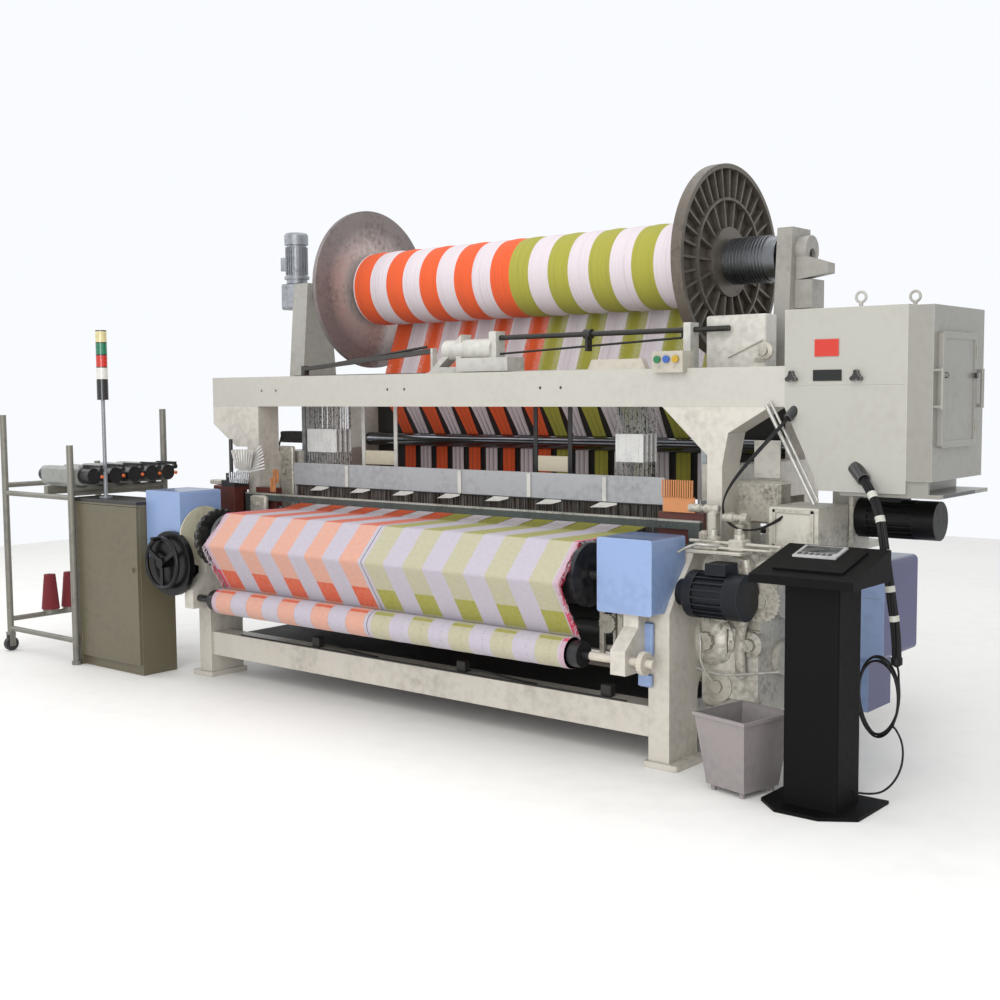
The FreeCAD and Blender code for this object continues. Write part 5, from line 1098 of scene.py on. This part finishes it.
for low, high in (((1.950, 0.985), (1.966, 1.155)), ((2.134, 0.985), (2.150, 1.155)),
                  ((1.950, 0.985), (2.150, 1.001)), ((1.950, 1.139), (2.150, 1.155))):
    deck.append(slab((low[0], -0.610, low[1]), (high[0], -0.601, high[1])))
made("deck_fittings", deck, cast_grey)
panel_white = finish("panel_white", "BDBAB2", 0.4, grime=0.35, dirt="4B463F")
made("white_panels", [slab((1.706, -0.330, 1.270), (1.843, -0.322, 1.449)),
                      slab((1.720, -0.322, 1.262), (1.735, -0.312, 1.290)),
                      slab((1.815, -0.322, 1.262), (1.830, -0.312, 1.290)), slab((1.374, -0.215, 1.792),
                              (1.700, -0.100,
                               2.050), 0.006), slab((-2.030, -0.560, 1.700), (-1.987, -0.480, 1.765), 0.004),
                      *bolts([(-2.010, -0.560, 1.715), (-2.010, -0.560, 1.750)], "Y", 0.008, -0.008),
                      *bolts([(x, -0.330, z) for x in (1.722, 1.828) for z in (1.290, 1.432)], "Y", 0.006,
                             -0.005)], panel_white)
made("small_motor", [turned((1.710, -0.224, 1.872), "Y", ((0.0, 0.040), (-0.020, 0.040), (-0.024, 0.022), (-0.040,
        0.020)), 32),
                     rod((1.500, -0.222, 1.845), (1.690, -0.222, 1.925), 0.004), slab((1.640, -0.222, 1.820),
                             (1.700, -0.216, 1.840))], cast_grey)
bars = [rod((-1.443, -0.25, 1.847), (-0.461, -0.25, 1.950), 0.008),
        rod((0.014, -0.25, 1.893), (1.258, -0.25, 1.947), 0.006),
        rod((0.014, -0.25, 1.893), (0.014, -0.25, 1.973), 0.007), rod((1.258, -0.25, 1.947), (1.258, -0.25, 1.973),
                                                                      0.006),
        slab((1.690, -0.470, 1.470), (1.706, -0.430, 1.500), 0.003)]
made("control_bars", bars, finish("bar_dark", "302E2C", 0.35, metal=0.5, grime=0.3))
made("lower_panels", [slab((1.500, -1.030, 0.507), (1.586, -1.004, 0.659), 0.006),
                      slab((1.508, -1.026, 0.365), (1.580, -1.004, 0.425), 0.006)],
     cover_blue)
sensors = [slab((x - 0.028, -0.960, 0.272), (x + 0.028, -0.915, 0.330), 0.004) for x in (-0.682, 0.394, 1.286)]
made("beam_sensors", sensors + [slab((-1.30, -0.984, 0.271), (1.42, -0.976, 0.279), 0.002)], dark_sheet)
for n, x in enumerate((-0.682, 0.394)):
    lead = route("sensor_lead_%d" % n, ((x + 0.028, -0.940, 0.290), (x + 0.150, -0.950, 0.298),
                                        (x + 0.320, -0.940, 0.2746), (x + 0.480, -0.950, 0.2746)),
                 0.009, post_black)


# ---- Dobby, its side box and the control motor -------------------------------------
# Sheet-steel housing on the right end of the girder, with black knobs, lifting eyes and a hinged side door. Its warm
# grey enamel is rubbed at the edges, and a plain red plate and a plain black one are fixed to its front.

greatest = maths("MAXIMUM")


def dobby_colour(tree, clean="9C9A92", dusty="88847A"):
    """Warm grey enamel, with black knobs and cable gland, which stand out of the front and the door."""
    x, y = place(tree, "X"), place(tree, "Y")
    knobs = greatest(tree, below(tree, y, -0.6015), above(tree, x, 2.6935))
    handles = above(tree, absolute(tree, minus(tree, y, -0.36)), 0.185)
    black = times(tree, knobs, minus(tree, 1.0, times(tree, handles,
                  above(tree, x, 2.6935))))
    return blended(tree, black, settled(tree, clean, dusty), "121213")


dobby_enamel = worn(finish("dobby_enamel", dobby_colour, 0.38, grime=0.2, dirt="766F65", relief=0.05, coat=0.25),
                    "CAC8C3", 0.4)
dress(dobby_enamel, "dobby_housing")
# The side box and the door wear the dobby's enamel painted darker: painted shade on its right side.
dress(worn(finish("dobby_enamel_shaded_side", lambda tree: dobby_colour(tree, "817F77", "716D64"), 0.38, grime=0.2,
                  dirt="605A51",
                  relief=0.05, coat=0.25), "B5B2AB", 0.5), "dobby_side_box", "dobby_door")


made("front_plate", [slab((2.143, -0.6050, 1.827), (2.256, -0.6008, 1.902), 0.0012)],
     worn(finish("plate_red", "B02A1C", 0.35, grime=0.2), "C9B9AE", 0.3))
made("front_display", [slab((2.137, -0.6050, 1.722), (2.270, -0.6008, 1.770), 0.0012)],
     finish("display_black", "0E0E0E", 0.25, grime=0.15))


dress(finish("control_white", stepped("X", "33312E", (-0.4155, "B9B7B0")), 0.4, grime=0.35, dirt="4F4A43"),
      "control_motor")
dress(finish("box_beige", "A9A396", 0.45, grime=0.2), "button_box")
for colour, code in (("green", "19663B"), ("blue", "275098"), ("yellow", "A98819")):
    dress(finish(colour + "_cap_plastic", code, 0.3, grime=0.1, coat=0.3), colour + "_button")


# ---- Hand wheel and belt guard --------------------------------------------------------
# At the left end a black spoked hand wheel turns in a round guard, which stands on a bracket of the frame. Both are
# painted, with grey metal on their rubbed edges.
dress(worn(matt(finish("wheel_black", "070708", 0.3, grime=0.35, dirt="1C1A18"), 0.3), "565452", 0.4), "handwheel",
      "belt_guard")


# ---- Electric cabinet and signal lamp --------------------------------------------------
# Folded steel cabinet with a hinged door, in olive-brown enamel with a dark top. A grey pole carries four stacked
# lenses, parted by black rings.

dress(worn(finish("cabinet_enamel", stepped("Z", "5C5542", (1.030, "232220")), 0.42, grime=0.3, dirt="3E3B32",
                  relief=0.05, coat=0.1),
           "989488", 0.4), "cabinet_body", "cabinet_door")


LENSES = ((1.657, "141415"), (1.785, "C9C7C0"), (1.855, "141415"), (1.861, "B5281C"), (1.930, "141415"),
          (1.937, "1C6B4C"), (2.006, "141415"), (2.012, "C9BE8C"), (2.078, "141415"))
dress(finish("lamp_stack", stepped("Z", "787B7E", *LENSES), 0.22, grime=0.15, relief=0.03, coat=0.4), "signal_lamp")


# ---- Weft rack, feeders and cones --------------------------------------------------------
# A tube stand on one castor holds five weft feeders; spare cones of dark red weft stand on its lower rail. The
# feeders are moulded, with black ends, grey bodies and orange tension knobs.

FEEDER_STEPS = ((-2.889, "83847F"), (-2.480, "131314"), (-2.372, "1B1B1C"))
dress(finish("feeder_plastic", stepped("X", "1B1B1D", *FEEDER_STEPS), 0.35, grime=0.4, dirt="4C4843"), "weft_feeders")
knob_orange = finish("knob_orange", "C25A22", 0.45, grime=0.2)
knobs = [turned((-2.291, y, 1.185), "X", ((0.0, 0.011), (0.006, 0.0105), (0.009, 0.006)), 16) for y in (-1.225,
        -1.070, -0.930, -0.800, -0.675)]
made("feeder_knobs", knobs, knob_orange)
dress(worn(finish("rack_grey", "747269", 0.42, metal=0.2, grime=0.35), "A5A49E", 0.4), "weft_rack", "caster_fork")
dress(finish("caster_black", "202023", 0.55, grime=0.5, dirt="595651"), "caster_wheel")
dress(finish("cone_red", "6A1820", 0.8, grime=0.2), "weft_cones")


# ---- Console and waste bin ------------------------------------------------------------------
# A matt black stand carries a sloping panel with a screen and a row of keys. A grey bin stands beside it on the floor,
# free of the loom.
dress(worn(matt(finish("console_black", "050404", 0.6, grime=0.2, dirt="12100F"), 0.12), "1D1B19", 0.3),
      "console_stand", "console_panel")
dress(finish("bin_grey", "827B7A", 0.4, grime=0.35, dirt="59575E", relief=0.05), "waste_bin")


def on_desk(part):
    """A flat part's height carried onto the sloping desk: z + 0.955 + 0.257 * (y + 1.25)."""
    vertices, faces = part
    vertices = np.array(vertices)
    vertices[:, 2] += 0.955 + 0.257 * (vertices[:, 1] + 1.25)
    return vertices, faces


made("console_screen", [on_desk(slab((2.285, -1.075, 0.010), (2.475, -0.955, 0.020), 0.002))],
     finish("screen_frame", "9A9A98", 0.4, grime=0.3))
keys = [on_desk(slab((2.300 + 0.026 * n, -1.062, 0.020), (2.318 + 0.026 * n, -1.044, 0.023),
                     0.001)) for n in range(6)]
made("console_keys", keys + [on_desk(slab((2.302, -1.034, 0.020), (2.458, -0.968, 0.0215), 0.0005))],
     finish("screen_dark", "262A2E", 0.2, grime=0.2, coat=0.4))


# ---- Floor and lights -------------------------------------------------------
# A plain pale studio floor under a pale sky. Four soft square lights stand high in front, low in front, on the left
# and overhead, all turned to the middle of the loom.
floor_pale = finish("floor_pale", "E4E2DE", 0.7, grime=0.06, scale=0.8, relief=0.02)
corner = 9.0
grid = np.array([[(-corner, -corner, 0.0), (corner, -corner, 0.0)], [(-corner, corner, 0.0), (corner, corner, 0.0)]])
floor = made("floor", [woven(grid - np.array([0, 0, 0.0005]))], floor_pale)
for name, spot, size, power in (("front_light", (3.0, -7.0, 5.5), 6.0, 260),
                                ("left_light", (-7.0, -3.0, 5.0), 5.0, 130),
                                ("low_light", (3.5, -8.0, 1.4), 3.5, 230), ("top_light", (0.0, 1.0, 7.0), 6.0, 120)):
    lamp = bpy.data.lights.new(name, "AREA")
    lamp.size = size
    lamp.energy = power
    light = bpy.data.objects.new(name, lamp)
    light.location = spot
    light.rotation_euler = (Vector((0, 0, 1.0)) - Vector(spot)).to_track_quat("-Z", "Y").to_euler()
    scene.collection.objects.link(light)
sky = bpy.data.worlds.new("sky")
sky.use_nodes = True
sky.node_tree.nodes["Background"].inputs["Color"].default_value = (0.95, 0.97, 1.0, 1.0)
sky.node_tree.nodes["Background"].inputs["Strength"].default_value = 1.0
scene.world = sky
scene.view_settings.view_transform = "Standard"
